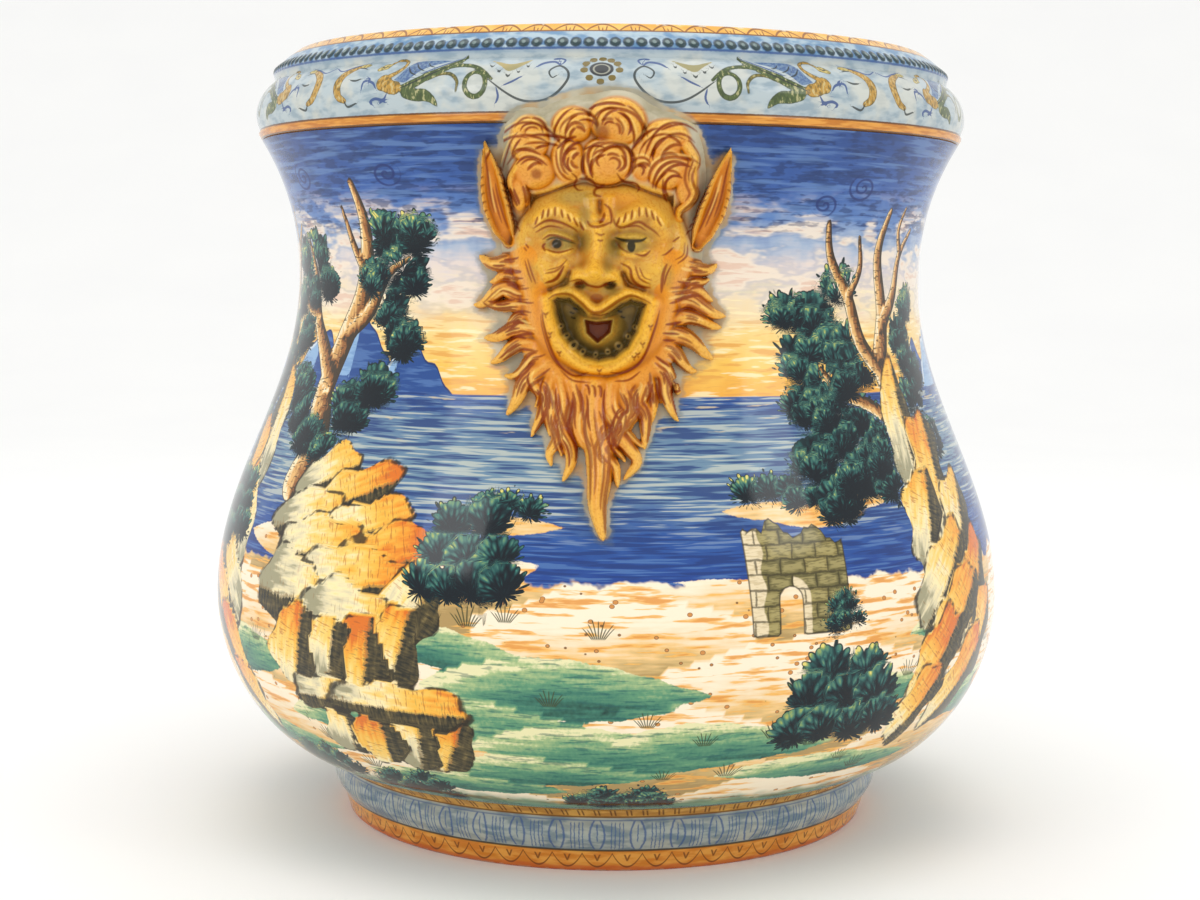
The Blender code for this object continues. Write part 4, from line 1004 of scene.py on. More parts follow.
FORKED_CROWN = [
    (-52, 90, 13, 0.0), (-36, 76, 14, 0.05), (-62, 72, 12, 0.1), (-44, 58, 14, 0.1), (-22, 68, 12, 0.15),
    (-64, 52, 12, 0.15), (-28, 46, 13, 0.2), (-50, 38, 13, 0.15), (-12, 40, 12, 0.25), (26, 80, 11, 0.1),
    (36, 64, 12, 0.15), (22, 52, 12, 0.2), (-32, 104, 11, 0.0), (40, 94, 10, 0.0), (-66, 30, 12, 0.1),
    (-38, 22, 13, 0.15), (-18, 18, 13, 0.2), (-56, 12, 12, 0.1), (30, 34, 12, 0.2), (-70, 92, 10, 0.0),
]
FORKED_FRONT = [
    (-36, 60, 10, 0.05), (-54, 48, 9, 0.1), (28, 68, 9, 0.1), (-26, 30, 11, 0.1), (-46, 20, 10, 0.05),
]
# Slabs of rock, from the back ones to the front ones: place, half length, half thickness, turn and warmth
FANNED_ROCKS = [
    (-30, 64, 24, 10, 26, 0.35), (-8, 58, 28, 10, 24, 0.80), (-38, 46, 26, 11, 14, 0.25),
    (2, 44, 28, 11, 20, 0.55), (-26, 34, 30, 12, 10, 0.45), (16, 32, 30, 12, 14, 0.95),
    (-2, 22, 34, 13, 6, 0.60), (34, 14, 22, 13, 62, 0.30), (-40, 14, 28, 14, 0, 0.15),
    (-4, 6, 34, 13, 0, 0.20), (26, -4, 20, 13, 76, 0.60), (8, -10, 20, 14, 82, 0.95),
    (-12, -10, 19, 13, 78, 0.25), (-34, -10, 22, 14, 80, 0.70),
]
LEANING_ROCKS = [
    (-2, 92, 34, 11, 82, 0.30), (14, 70, 36, 13, 76, 0.65), (-6, 52, 28, 12, 70, 0.45),
    (24, 44, 34, 14, 62, 0.25), (0, 26, 34, 13, 44, 0.40), (32, 18, 32, 13, 56, 0.90),
    (8, 6, 36, 13, 42, 0.70), (36, -8, 30, 13, 54, 0.55), (-8, -10, 30, 12, 50, 0.95),
    (20, -24, 32, 13, 46, 0.80), (-16, -30, 24, 11, 54, 0.75),
]
LEDGE_ROCKS = [
    (-30, -14, 15, 11, 84, 0.15), (26, -14, 20, 12, 66, 0.95), (8, -16, 16, 13, 80, 0.20),
    (-10, -16, 16, 12, 86, 0.90), (-36, 2, 24, 8, 4, 0.35), (4, 2, 40, 9, 0, 0.55),
]


def paint_distance(wall, rng):
    """Mountains over the far shore, all round the pot: azimuth, half width and rise."""
    for azimuth, half_width, rise in (
        (-44, 30, 34), (-56, 34, 25), (-32, 26, 22), (66, 26, 22), (78, 30, 30), (92, 34, 22), (118, 28, 30),
        (133, 34, 24), (152, 26, 20), (205, 30, 26), (222, 36, 34), (240, 28, 22), (262, 30, 28),
        (278, 26, 20),
    ):
        mountain(wall, azimuth, FAR_SHORE_Z, half_width, rise, rng)


def paint_ground(wall, rng):
    """Sand banks and green swells, from the shore down to the foot."""
    for azimuth, height, half_width, drop in (
        (-14, 146, 34, 16), (20, 142, 44, 18), (60, 150, 40, 18), (100, 140, 46, 18), (140, 148, 40, 16),
        (184, 142, 48, 18), (226, 148, 42, 16), (270, 142, 46, 18), (310, 150, 40, 16), (2, 124, 52, 20),
        (48, 126, 46, 20), (96, 120, 50, 20), (150, 126, 50, 20), (204, 122, 52, 20), (256, 124, 48, 20),
        (304, 122, 50, 20), (28, 102, 56, 22), (84, 100, 54, 22), (140, 104, 56, 22), (200, 100, 56, 22),
        (258, 102, 54, 22), (316, 104, 54, 22), (0, 80, 60, 24), (60, 78, 58, 24), (120, 80, 58, 24),
        (180, 78, 58, 24), (240, 80, 58, 24), (300, 78, 58, 24),
    ):
        ledge(wall, azimuth + rng.uniform(-3, 3), height + rng.uniform(-2, 2), half_width, drop, rng)
    for azimuth, height, half_width, rise, lean in (
        (-20, 108, 34, 9, -2), (56, 112, 30, 8, 2), (108, 110, 36, 9, -2), (168, 106, 34, 9, 2),
        (214, 112, 34, 8, -2), (272, 108, 36, 9, 2), (-6, 90, 44, 12, -3), (40, 86, 32, 8, 2),
        (92, 90, 40, 11, 3), (146, 88, 42, 12, -3), (196, 90, 44, 12, 3), (248, 88, 40, 11, -3),
        (300, 92, 42, 12, 2), (-2, 94, 44, 11, -2), (-18, 76, 48, 12, 1), (2, 64, 50, 12, -3),
        (-30, 72, 46, 12, 3), (18, 68, 40, 10, -2), (70, 70, 46, 12, 2), (122, 68, 46, 12, -3),
        (172, 72, 46, 11, 3), (222, 70, 46, 12, -2), (276, 68, 46, 12, 3), (-8, 54, 44, 9, 1),
        (36, 52, 46, 8, -1), (90, 54, 48, 9, 2), (140, 52, 48, 9, -2), (190, 54, 48, 9, 1),
        (240, 52, 48, 9, -1), (300, 54, 48, 9, 2), (340, 46, 40, 7, 0),
    ):
        mound(wall, azimuth, height, 1.3 * half_width, 1.3 * rise, rng, lean)


def paint_islets(wall, rng):
    """Sandy islets in the lake, each with three bushes: azimuth, height and size."""
    for azimuth, height, size in (
        (24, 176, 8), (31, 172, 7), (38, 178, 9), (-12, 170, 7), (100, 176, 9), (108, 172, 7), (172, 176, 8),
        (216, 178, 9), (224, 173, 7), (268, 176, 8),
    ):
        chosen, x, y = wall.near(azimuth, height - 8, 30)
        shore = 3.2 * np.clip(1 - (x / 22) ** 2, -1, 1)
        wall.cover("bank", chosen, np.minimum(shore - y, y + 1.5 + shore), bank_tone=0.6)
        for k in range(3):
            clump(wall, azimuth + 3.2 * (k - 1), height - 2 + rng.uniform(-2, 3), size, rng, 0.1)


def paint_towers(wall, rng):
    tower(wall, 27, 116, 24, 44, -6, rng, 1)
    tower(wall, 128, 122, 20, 40, 5, rng, -1)
    tower(wall, 242, 118, 22, 44, -5, rng, 1)


def plant(wall, tree, behind, before, places, rng):
    """Copies of a tree, each with the clumps behind its branches and those before them."""
    for azimuth, height, flip in places:
        crown(wall, azimuth, height, behind, rng, flip)
        for points, half_widths in tree:
            branch(wall, azimuth, height, points, half_widths, flip)
        crown(wall, azimuth, height, before, rng, flip)


def paint_trees_and_rocks(wall, rng):
    leaning = [(-50, 172, 1), (116, 176, -1), (232, 172, 1)]
    forked = [(53, 158, 1), (154, 160, -1), (278, 158, 1)]
    plant(wall, LEANING_TREE, LEANING_CROWN, LEANING_FRONT, leaning, rng)
    plant(wall, FORKED_TREE, FORKED_CROWN, FORKED_FRONT, forked, rng)
    for slabs, places in (
        (FANNED_ROCKS, [(-34, 112, 1), (104, 110, -1), (222, 112, 1)]),
        (LEANING_ROCKS, [(54, 106, 1), (146, 110, -1), (264, 106, 1), (-66, 100, -1)]),
        (LEDGE_ROCKS, [(-28, 80, 1), (82, 72, -1), (168, 76, 1), (240, 74, -1)]),
    ):
        for azimuth, height, flip in places:
            outcrop(wall, azimuth, height, slabs, rng, flip)


def paint_bushes_and_grass(wall, rng):
    for azimuth, height, wide, high, dusk in (
        (-17, 140, 24, 30, 0.1), (34, 78, 34, 30, 0.05), (-68, 150, 22, 22, 0.1), (4, 40, 26, 8, 0.15),
        (-30, 40, 26, 8, 0.15), (76, 46, 30, 10, 0.1), (86, 150, 20, 26, 0.1), (124, 150, 22, 28, 0.1),
        (170, 140, 26, 28, 0.1), (196, 82, 32, 26, 0.05), (206, 150, 20, 24, 0.1), (284, 146, 24, 28, 0.1),
        (110, 44, 30, 9, 0.15), (154, 42, 30, 9, 0.15), (214, 42, 30, 9, 0.15), (262, 42, 30, 10, 0.15),
        (312, 44, 26, 10, 0.15), (33, 122, 9, 12, 0.2), (125, 126, 8, 11, 0.2), (246, 124, 8, 11, 0.2),
    ):
        bush(wall, azimuth, height, wide, high, rng, dusk)
    for step in range(72):
        azimuth = 5 * step + rng.uniform(-2, 2)
        grass(wall, azimuth, rng.uniform(48, 128), rng.uniform(9, 14))
    for azimuth, height, size, flip in (
        (46, 304, 10, 1), (38, 296, 8, 1), (-36, 308, 9, -1), (100, 304, 10, 1), (140, 308, 9, -1),
        (210, 306, 10, 1), (250, 304, 9, -1), (300, 308, 10, 1),
    ):
        cloud_curl(wall, azimuth, height, size, flip)


HALO_STEP = 0.8


def halo_map():
    """How far each place of a coarse grid lies inside the bare glaze that hugs a mask's relief."""
    columns, rows = np.arange(-72, 72.01, HALO_STEP), np.arange(-120, 96.01, HALO_STEP)
    x, z = np.meshgrid(columns, rows)
    clay = sculpt_mask(x, z)
    crest = (x / 35) ** 2 + ((z - 52) / 27) ** 2 < 1
    shown = (clay.depth - clay.wall > SHOWN_RISE) | crest & (z > 46)
    return columns, rows, 16 * (blurred(shown.astype(float), 24) - 0.16)


def paint_halo(wall):
    """Stores how far each point lies inside the bare glaze round the nearer mask."""
    columns, rows, depth = halo_map()
    across = np.where(wall.front, wall.x, -wall.x)
    column, row = (across - columns[0]) / HALO_STEP, (wall.z - WAIST_Z - rows[0]) / HALO_STEP
    near = (column > 0) & (column < len(columns) - 1) & (row > 0) & (row < len(rows) - 1)
    column, row = column[near], row[near]
    i, j = row.astype(int), column.astype(int)
    v, u = row - i, column - j
    lower = depth[i, j] * (1 - u) + depth[i, j + 1] * u
    upper = depth[i + 1, j] * (1 - u) + depth[i + 1, j + 1] * u
    wall.field("halo")[near] = lower * (1 - v) + upper * v


def paint_wall(mesh):
    """The whole landscape on the body's outside."""
    outside = np.array([p for p in body_profile() if p[0] > SEAT_R - 0.01 and p[1] <= NECK_Z])
    outside = outside[np.argsort(-outside[:, 1], kind="stable")]
    wall = Canvas(mesh, outside[[r > float(body_radius(z)) - 1 for r, z in outside]])
    for name in ("mountain", "bank", "green", "brick", "rock", "wood", "leaf", "halo"):
        wall.field(name)
    rng = np.random.default_rng(12)
    paint_distance(wall, rng)
    paint_ground(wall, rng)
    paint_islets(wall, rng)
    paint_towers(wall, rng)
    paint_trees_and_rocks(wall, rng)
    paint_bushes_and_grass(wall, rng)
    paint_halo(wall)
    wall.store()


# The collar's grotesques: one eighth of the band, in millimetres from a medallion's middle

ORNAMENT_Z = 349.4
MEDALLION = (5.0, 3.7)
MEDALLION_PEARLS = [
    (7.5, -0.5), (4.4, -4.3), (-0.4, -6.0), (-5.0, -4.3), (-7.3, -0.6), (-6.6, 2.9), (-3.4, 5.1), (0.5, 5.8),
    (4.0, 4.9), (6.7, 3.0),
]
TENDRIL = [
    (47.5, -4.9), (40.5, -10), (34.5, -13.2), (28.5, -14.2), (22.5, -13.2), (17.5, -9.9), (14, -5),
    (14.3, -1.1), (17.5, 1.6), (20.5, 0.5), (22, -1.6), (20.5, -4.2), (18.6, -3.2),
]
BLUE_LINES = [
    ([(17.5, 1.8), (20, 4), (24.5, 3.2), (27.5, 1.0)], 1.3),
    ([(17, 2.2), (15.6, 5.0), (18.4, 6.2), (21, 5.6)], 0.9),
    ([(44, -8.4), (43.2, -12), (44.6, -15)], 1.0), ([(41, -7.4), (37, -5.6), (33.4, -3.4)], 0.9),
    ([(104.5, -14), (106, -12.6), (103, -11.3), (98.5, -11.9), (96.5, -9.4)], 1.3),
    ([(100.5, -13.4), (98.8, -12.4), (97, -13.2)], 1.0),
    ([(111.5, -7.5), (110.8, -3.2), (105.5, -4.2), (103, -7)], 1.2),
    ([(109.4, -1.4), (107.6, -2.6), (108.6, -4.2)], 0.9),
    ([(135, 6), (129, 3.4), (122, 5.6), (114, 8)], 0.8), ([(62, 8.6), (67, 5.2), (72, 2.8), (80, -1)], 0.7),
]
DARK_LINES = [
    (TENDRIL, 1.1), ([(90, -7.4), (82, -4.4), (74, -0.6), (66, 4)], 0.7),
    ([(88, 3), (86, 0), (83, -1.4)], 0.8),
    ([(84.5, 5), (82.5, 2.2), (79.5, 0.6)], 0.7), ([(78.5, 5), (77, 3.2), (74.5, 2.4)], 0.6),
    ([(120, -2.2), (116.4, -2.6), (113, -1.7)], 1.0), ([(122, -11), (119.8, -14), (114, -12.6)], 1.0),
    ([(117.6, 4.4), (114.8, 4.2), (112.4, 3.4)], 0.7), ([(104, 4.2), (102, 3.6), (100.6, 4.8)], 0.7),
    ([(30.6, 2.2), (31.2, 1.2), (31.8, 2)], 0.9), ([(34.4, -0.6), (35, -1.6), (35.8, -0.8)], 0.9),
    ([(38.6, -2.4), (39.4, -3.4), (40.2, -2.4)], 1.0), ([(42.8, -0.2), (43.6, -1.2), (44.4, -0.2)], 0.9),
    ([(46.4, 2.6), (47.2, 1.6), (48, 2.6)], 0.9),
]
BODY = [
    (101.6, -1.2), (103.2, -4), (101.8, -7.4), (98.6, -8.4), (95.6, -9.6), (91.4, -9.8), (89.2, -7.4),
    (90.6, -4.6), (94.2, -3.6), (96.4, -1.8), (99, -0.4),
]
HEAD = [(98.6, 4.8), (100.6, 6.0), (103.4, 5.0), (106, 2.6), (104.4, 1.6), (101.8, 2.2), (99.6, 2.8)]
BLUE_WING = [
    (94, -3.4), (91, -0.6), (88.6, 3.2), (84.6, 6.4), (78.5, 6.8), (71.5, 6.6), (67.5, 5.8), (72, 4.4),
    (76.5, 3), (81, 0.6), (84.5, -2.4), (88, -5),
]
GREEN_WING = [
    (90.8, -6.6), (84.5, -3.8), (76.5, -0.2), (68.5, 4.0), (63.8, 6.8), (61, 9.4), (61.6, 5.6), (66, 1.6),
    (72.5, -2.2), (78.5, -5.6), (84.5, -8.6), (89, -9.6),
]
LOWER_LEAF = [
    (89, -7.2), (82.5, -7.8), (76.5, -8.2), (72, -11.8), (71.2, -15.6), (76, -13.4), (82.5, -13),
    (88.5, -10.9),
]
SWAG = [(49.8, 6.4), (43.6, 2.0), (39.5, -1.0), (35, 1.0), (29.4, 5.8), (35, 3.8), (39.5, 3.0), (44.2, 4.4)]
LEAPING_HEAD = [(118.4, 6.2), (115.8, 7.6), (112.2, 6.6), (112, 5.2), (114.6, 4.4), (117.8, 4.6)]
# Limbs: the line and its half widths
TAIL = (
    [(78, -2), (71, 0.8), (65, 2.6), (59.5, 2.8), (54.5, 1.6), (50.5, -1.0), (46.5, -4.6)],
    (1.4, 1.2, 1.1, 1.0, 0.7),
)
RING = (
    [(53.7 + 4.6 * math.cos(a / 2), -6.4 + 5.4 * math.sin(a / 2)) for a in range(-9, 5)],
    (0.9, 1.1, 1.2, 1.1, 0.9),
)
ARC = ([(76, -3.6), (70.5, -1.4), (65.5, -1.8), (62, -5.3), (62.2, -9.7)], (0.8, 0.9, 0.9, 0.8, 0.5))
NECK = (
    [(99.5, 4.4), (96.5, 7.6), (92.5, 7.8), (90.4, 5.8), (91, 2.8), (93.8, 0.2), (97, -1.6)],
    (0.8, 0.8, 1.0, 1.3),
)
LEAPING_BODY = (
    [(119, 5), (123, 3.2), (126.6, 0.2), (127.8, -4.4), (125.6, -9.4), (121.6, -11.4)],
    (1.2, 1.9, 2.6, 2.2, 1.2),
)


def placed(azimuth, points, flip):
    """A drawing's points, the azimuth of its middle, and the middle's distance from the medallion."""
    points = np.array(points, float) * (flip, 1)
    middle = points[:, 0].mean() / OVOLO_R
    return points, azimuth + math.degrees(middle), middle * OVOLO_R


def shape(band, name, azimuth, outline, flip, **tones):
    outline, middle, away = placed(azimuth, outline, flip)
    chosen, x, y = band.near(middle, ORNAMENT_Z, 30)
    closed = smooth_line(np.vstack([outline, outline[:1]]))
    band.cover(name, chosen, inside(x + away, y, closed[:-1]), **tones)


def limb(band, name, azimuth, points, half_widths, flip, **tones):
    points, middle, away = placed(azimuth, points, flip)
    chosen, x, y = band.near(middle, ORNAMENT_Z, 30)
    aside, share = nearest(x + away, y, smooth_line(points))
    band.cover(name, chosen, width_along(share, half_widths) - abs(aside), **tones)


def brush(band, ink, azimuth, points, width, flip):
    points, middle, away = placed(azimuth, points, flip)
    band.line(ink, middle, ORNAMENT_Z, points - (away, 0), width)


def paint_collar(mesh):
    """Medallions over the masks and the sides, with a dragon and scrolls between them."""
    band = Canvas(mesh, np.array(collar_profile()[-COLLAR_ROWS:]))
    for name in ("gold", "beast", "wing", "medallion", "pearl"):
        band.field(name, -6.0)
    for azimuth in (0, 90, 180, 270):
        for x, y in MEDALLION_PEARLS:
            limb(band, "pearl", azimuth, [(x - 0.3, y), (x, y), (x + 0.3, y)], (1.45, 1.45), 1)
        chosen, x, y = band.near(azimuth, ORNAMENT_Z, 9)
        disc = (1 - np.hypot(x / MEDALLION[0], y / MEDALLION[1])) * MEDALLION[1]
        band.cover("medallion", chosen, disc)
        for flip in (1, -1):
            limb(band, "beast", azimuth, *ARC, flip, beast_tone=0.4)
            limb(band, "beast", azimuth, *RING, flip, beast_tone=0.05)
            limb(band, "beast", azimuth, *TAIL, flip, beast_tone=0.1)
            shape(band, "beast", azimuth, LOWER_LEAF, flip, beast_tone=0.15)
            shape(band, "wing", azimuth, BLUE_WING, flip)
            shape(band, "beast", azimuth, GREEN_WING, flip, beast_tone=0.2)
            limb(band, "beast", azimuth, *NECK, flip, beast_tone=0.9)
            shape(band, "beast", azimuth, BODY, flip, beast_tone=0.8)
            shape(band, "beast", azimuth, HEAD, flip, beast_tone=1.0)
            limb(band, "beast", azimuth, *LEAPING_BODY, flip, beast_tone=0.7)
            shape(band, "beast", azimuth, LEAPING_HEAD, flip, beast_tone=0.95)
            shape(band, "gold", azimuth, SWAG, flip)
            for points, width in BLUE_LINES:
                brush(band, "wisp", azimuth, points, width, flip)
            for points, width in DARK_LINES:
                brush(band, "ink", azimuth, points, width, flip)
    paint_halo(band)
    band.store()


# Shader maths: a value wraps a socket, and an expression on values adds its nodes


def operator(operation, reflected=False):
    """A method of Value that adds a Math node for the value and another one, or a number."""
    def act(self, other):
        return self.paint.maths(operation, *((other, self) if reflected else (self, other)))
    return act


class Value:
    """A number or a colour that varies over a surface."""

    def __init__(self, paint, socket):
        self.paint, self.socket = paint, socket

    __add__ = __radd__ = operator("ADD")
    __sub__, __rsub__ = operator("SUBTRACT"), operator("SUBTRACT", reflected=True)
    __mul__ = __rmul__ = operator("MULTIPLY")
    __truediv__, __rtruediv__ = operator("DIVIDE"), operator("DIVIDE", reflected=True)
    least, most = operator("MINIMUM"), operator("MAXIMUM")

    def __neg__(self):
        return self * -1.0

    def __abs__(self):
        return self.paint.maths("ABSOLUTE", self)

    def floor(self):
        return self.paint.maths("FLOOR", self)

    def fraction(self):
        return self.paint.maths("FRACT", self)

    def above(self, edge, soft):
        """0 below the edge and 1 above it, with a soft step between."""
        return self.paint.step(self, edge - soft, edge + soft)

    def below(self, edge, soft):
        return self.paint.step(self, edge + soft, edge - soft)


class Paint:
    """The nodes of one material, with a Principled shader to feed."""

    def __init__(self, name):
        self.material = bpy.data.materials.new(name)
        self.material.use_nodes = True
        self.tree = self.material.node_tree
        self.shader = self.tree.nodes["Principled BSDF"]
        self.place = self.node("ShaderNodeTexCoord", output="Object")

    def node(self, kind, settings=None, inputs=None, output=0):
        """A node with its settings, then the values or links of its sockets."""
        node = self.tree.nodes.new(kind)
        for name, setting in (settings or {}).items():
            if name == "stops":
                self.stops(node.color_ramp, setting)
            else:
                setattr(node, name, setting)
        self.feed(node, inputs or {})
        return Value(self, node.outputs[output])

    def feed(self, node, inputs):
        for socket, value in inputs.items():
            if isinstance(value, Value):
                self.tree.links.new(value.socket, node.inputs[socket])
            else:
                node.inputs[socket].default_value = value

    @staticmethod
    def stops(ramp, stops):
        while len(ramp.elements) < len(stops):
            ramp.elements.new(1.0)
        for element, (position, *colour) in zip(ramp.elements, stops):
            element.position, element.color = position, rgb(*colour)

    def maths(self, operation, *values):
        return self.node("ShaderNodeMath", {"operation": operation}, dict(enumerate(values)))

    def length(self, x, y):
        return self.maths("SQRT", x * x + y * y)

    def step(self, value, low, high):
        inputs = {"Value": value, "From Min": low, "From Max": high}
        if low > high:
            inputs.update({"From Min": high, "From Max": low, "To Min": 1.0, "To Max": 0.0})
        return self.node("ShaderNodeMapRange", {"interpolation_type": "SMOOTHSTEP"}, inputs)

    def mix(self, factor, base, over):
        """A colour laid over another by a factor."""
        settings = {"data_type": "RGBA", "clamp_factor": True}
        return self.node("ShaderNodeMix", settings, {0: factor, 6: base, 7: over}, output=2)

    def coats(self, colour, coats):
        """Coats laid over a colour in turn, each given by its factor, red, green and blue."""
        for factor, *over in coats:
            colour = self.mix(factor, colour, rgb(*over))
        return colour

    def ramp(self, value, stops):
        """A colour by a value, from stops given by position, red, green and blue."""
        return self.node("ShaderNodeValToRGB", {"stops": stops}, {"Fac": value})

    def field(self, name):
        return self.node("ShaderNodeAttribute", {"attribute_name": name}, output="Fac")

    def places(self, size):
        """The place on the piece, counted in a size in millimetres, or in one for each axis."""
        sizes = size if isinstance(size, tuple) else (size,) * 3
        inputs = {0: self.place, 1: tuple(1 / s / MM for s in sizes)}
        return self.node("ShaderNodeVectorMath", {"operation": "MULTIPLY"}, inputs)

    def noise(self, size, detail, vector=None):
        """Cloudy values from 0 to 1, whose features have about the size, or follow a vector."""
        inputs = {"Vector": vector or self.places(size), "Scale": 1.0, "Detail": detail}
        return self.node("ShaderNodeTexNoise", None, inputs)

    def cells(self, size, vector=None, feature="F1"):
        inputs = {"Vector": vector or self.places(size), "Scale": 1.0}
        return self.node("ShaderNodeTexVoronoi", {"feature": feature}, inputs, output="Distance")

    def split(self):
        """The piece's own x, y and z in millimetres."""
        parts = self.node("ShaderNodeSeparateXYZ", None, {"Vector": self.places(1)}).socket.node
        return [Value(self, parts.outputs[axis]) for axis in "XYZ"]

    def joined(self, x, y, z):
        return self.node("ShaderNodeCombineXYZ", None, {"X": x, "Y": y, "Z": z})

    def around(self, x, y, count):
        """Where a point lies in one of count repeats round the axis, from -0.5 to 0.5."""
        turn = self.maths("ARCTAN2", x, -y) * (count / (2 * math.pi))
        return (turn + (count + 0.5)).fraction() - 0.5

    def line(self, ink):
        """1 on the brush lines drawn with an ink."""
        side, away = self.field(ink + "_side"), self.field(ink + "_away")
        return abs(side).below(1.0, 0.25) * away.below(1.6, 0.5)

    def gloss(self, coat=0.0, shine=0.36):
        self.feed(self.shader, {
            "IOR": 1.46, "Specular IOR Level": shine,
            "Coat Weight": coat, "Coat Roughness": 0.04, "Coat IOR": 1.4,
        })

    def finish(self, colour, roughness, bump=None, strength=0.3, depth=0.1):
        """Feeds the shader. The depth of the bump is in millimetres."""
        self.feed(self.shader, {"Base Color": colour, "Roughness": roughness})
        if bump is not None:
            inputs = {"Strength": strength, "Distance": depth * MM, "Height": bump}
            self.feed(self.shader, {"Normal": self.node("ShaderNodeBump", None, inputs)})
        return self.material


# Glazes. Colours that a user would change come from the panel
# Stops of their colours: position, red, green and blue

SKY = [
    (0.00, 236, 168, 66), (0.10, 244, 196, 90), (0.24, 247, 214, 140), (0.38, 238, 220, 190),
    (0.48, 228, 214, 206), (0.57, 166, 182, 204), (0.66, 88, 124, 182), (0.78, 56, 92, 160),
    (1.00, 40, 72, 134),
]
WATER = [
    (0.00, 30, 62, 138), (0.28, 44, 84, 152), (0.60, 110, 140, 162), (0.86, 98, 128, 158),
    (1.00, 52, 88, 150),
]
FOLIAGE = [
    (0.00, 8, 20, 28), (0.22, 16, 44, 48), (0.42, 34, 82, 80), (0.60, 66, 116, 104),
    (0.76, 104, 144, 104), (0.90, 164, 174, 92), (1.00, 230, 214, 120),
]
LIT_ROCK = [
    (0.00, 162, 156, 124), (0.12, 222, 210, 172), (0.28, 250, 232, 178), (0.46, 248, 208, 112),
    (0.66, 245, 188, 74), (0.84, 240, 158, 50), (1.00, 222, 116, 34),
]
DARK_ROCK = [
    (0.00, 20, 22, 20), (0.34, 48, 46, 34), (0.58, 92, 80, 50), (0.80, 140, 122, 76),
    (1.00, 176, 160, 112),
]
SWELL = [
    (0.00, 232, 226, 176), (0.14, 168, 190, 134), (0.38, 96, 150, 114), (0.66, 58, 118, 100),
    (0.90, 34, 76, 66), (1.00, 26, 50, 48),
]
BANK = [
    (0.00, 250, 234, 206), (0.30, 244, 220, 182), (0.55, 240, 198, 132), (0.78, 204, 172, 112),
    (1.00, 176, 146, 92),
]


def lay_sky(p, z, drift, streak, dab):
    rise = (z - FAR_SHORE_Z) / SKY_HEIGHT
    height = rise + (drift - 0.5) * 0.20 + (streak - 0.5) * 0.10
    sky = p.ramp(height, SKY)
    sky = p.coats(sky, [
        (streak.above(0.58, 0.05) * rise.below(0.28, 0.06) * 0.8, 226, 160, 72),
        (streak.below(0.42, 0.04) * rise.below(0.42, 0.08) * 0.7, 252, 236, 190),
    ])
    billow = p.noise((26, 26, 9), 3)
    banks = rise.above(0.30, 0.06) * rise.below(0.72, 0.08)
    sky = p.coats(sky, [
        (billow.above(0.54, 0.05) * banks * 0.9, 240, 224, 204),
        (billow.above(0.60, 0.03) * streak.above(0.5, 0.05) * banks * 0.55, 222, 176, 150),
        (billow.above(0.47, 0.03) * billow.below(0.54, 0.03) * banks * 0.25, 120, 140, 176),
    ])
    high = rise.above(0.62, 0.05)
    sky = p.mix(streak.above(0.56, 0.05) * high * 0.7, sky, rgb(36, 62, 112))
    light = p.noise((34, 34, 2.0), 3)
    sky = p.coats(sky, [
        (light.above(0.56, 0.07) * high * 0.55, 104, 138, 188),
        ((light + dab - 0.5).below(0.40, 0.06) * high * 0.6, 28, 50, 98),
    ])
    return lay_curls(p, sky)


def lay_curls(p, colour):
    """Spirals of cloud, brushed in dark blue."""
    x, y = p.field("curl_x"), p.field("curl_y")
    out, turn = p.length(x, y), p.maths("ARCTAN2", y, x) / (2 * math.pi)
    spiral = abs((out / 4.4 + turn).fraction() - 0.5).below(0.17, 0.09)
    return p.mix(spiral * p.field("curl").above(0.5, 0.8) * 0.8, colour, rgb(26, 44, 104))


def lay_mountains(p, colour, streak, fine):
    depth, side, rise = p.field("mountain"), p.field("mountain_side"), p.field("mountain_rise")
    slope = (side + (fine - 0.5) * 0.8).above(0.05, 0.25)
    peak = p.mix(slope, rgb(142, 178, 214), rgb(40, 76, 140))
    peak = p.coats(peak, [
        (streak.above(0.56, 0.06) * 0.5, 96, 134, 188),
        (rise.below(2.4, 0.8) * side.below(0.0, 0.3) * 0.8, 218, 228, 232),
        (depth.below(0.6, 0.3), 30, 52, 104),
    ])
    return p.mix(depth.above(-0.2, 0.25), colour, peak)


def lay_water(p, colour, z, streak, dab):
    lake = p.ramp((z - LAKE_BASE_Z) / LAKE_HEIGHT + (dab - 0.5) * 0.25, WATER)
    ripple = p.noise((30, 30, 1.3), 2)
    middle_z, far_z = 158, 196
    lake = p.coats(lake, [
        (ripple.above(0.55, 0.04) * 0.8, 30, 56, 116),
        (ripple.below(0.42, 0.035) * 0.75 * z.above(middle_z, 10), 192, 198, 186),
        (ripple.below(0.42, 0.035) * 0.5 * z.below(middle_z, 10), 92, 132, 184),
        (streak.below(0.34, 0.03) * z.above(far_z, 6) * 0.6, 232, 206, 150),
    ])
    edge = z + (streak - 0.5) * 1.2
    return p.mix(edge.below(FAR_SHORE_Z, 0.35), colour, lake)


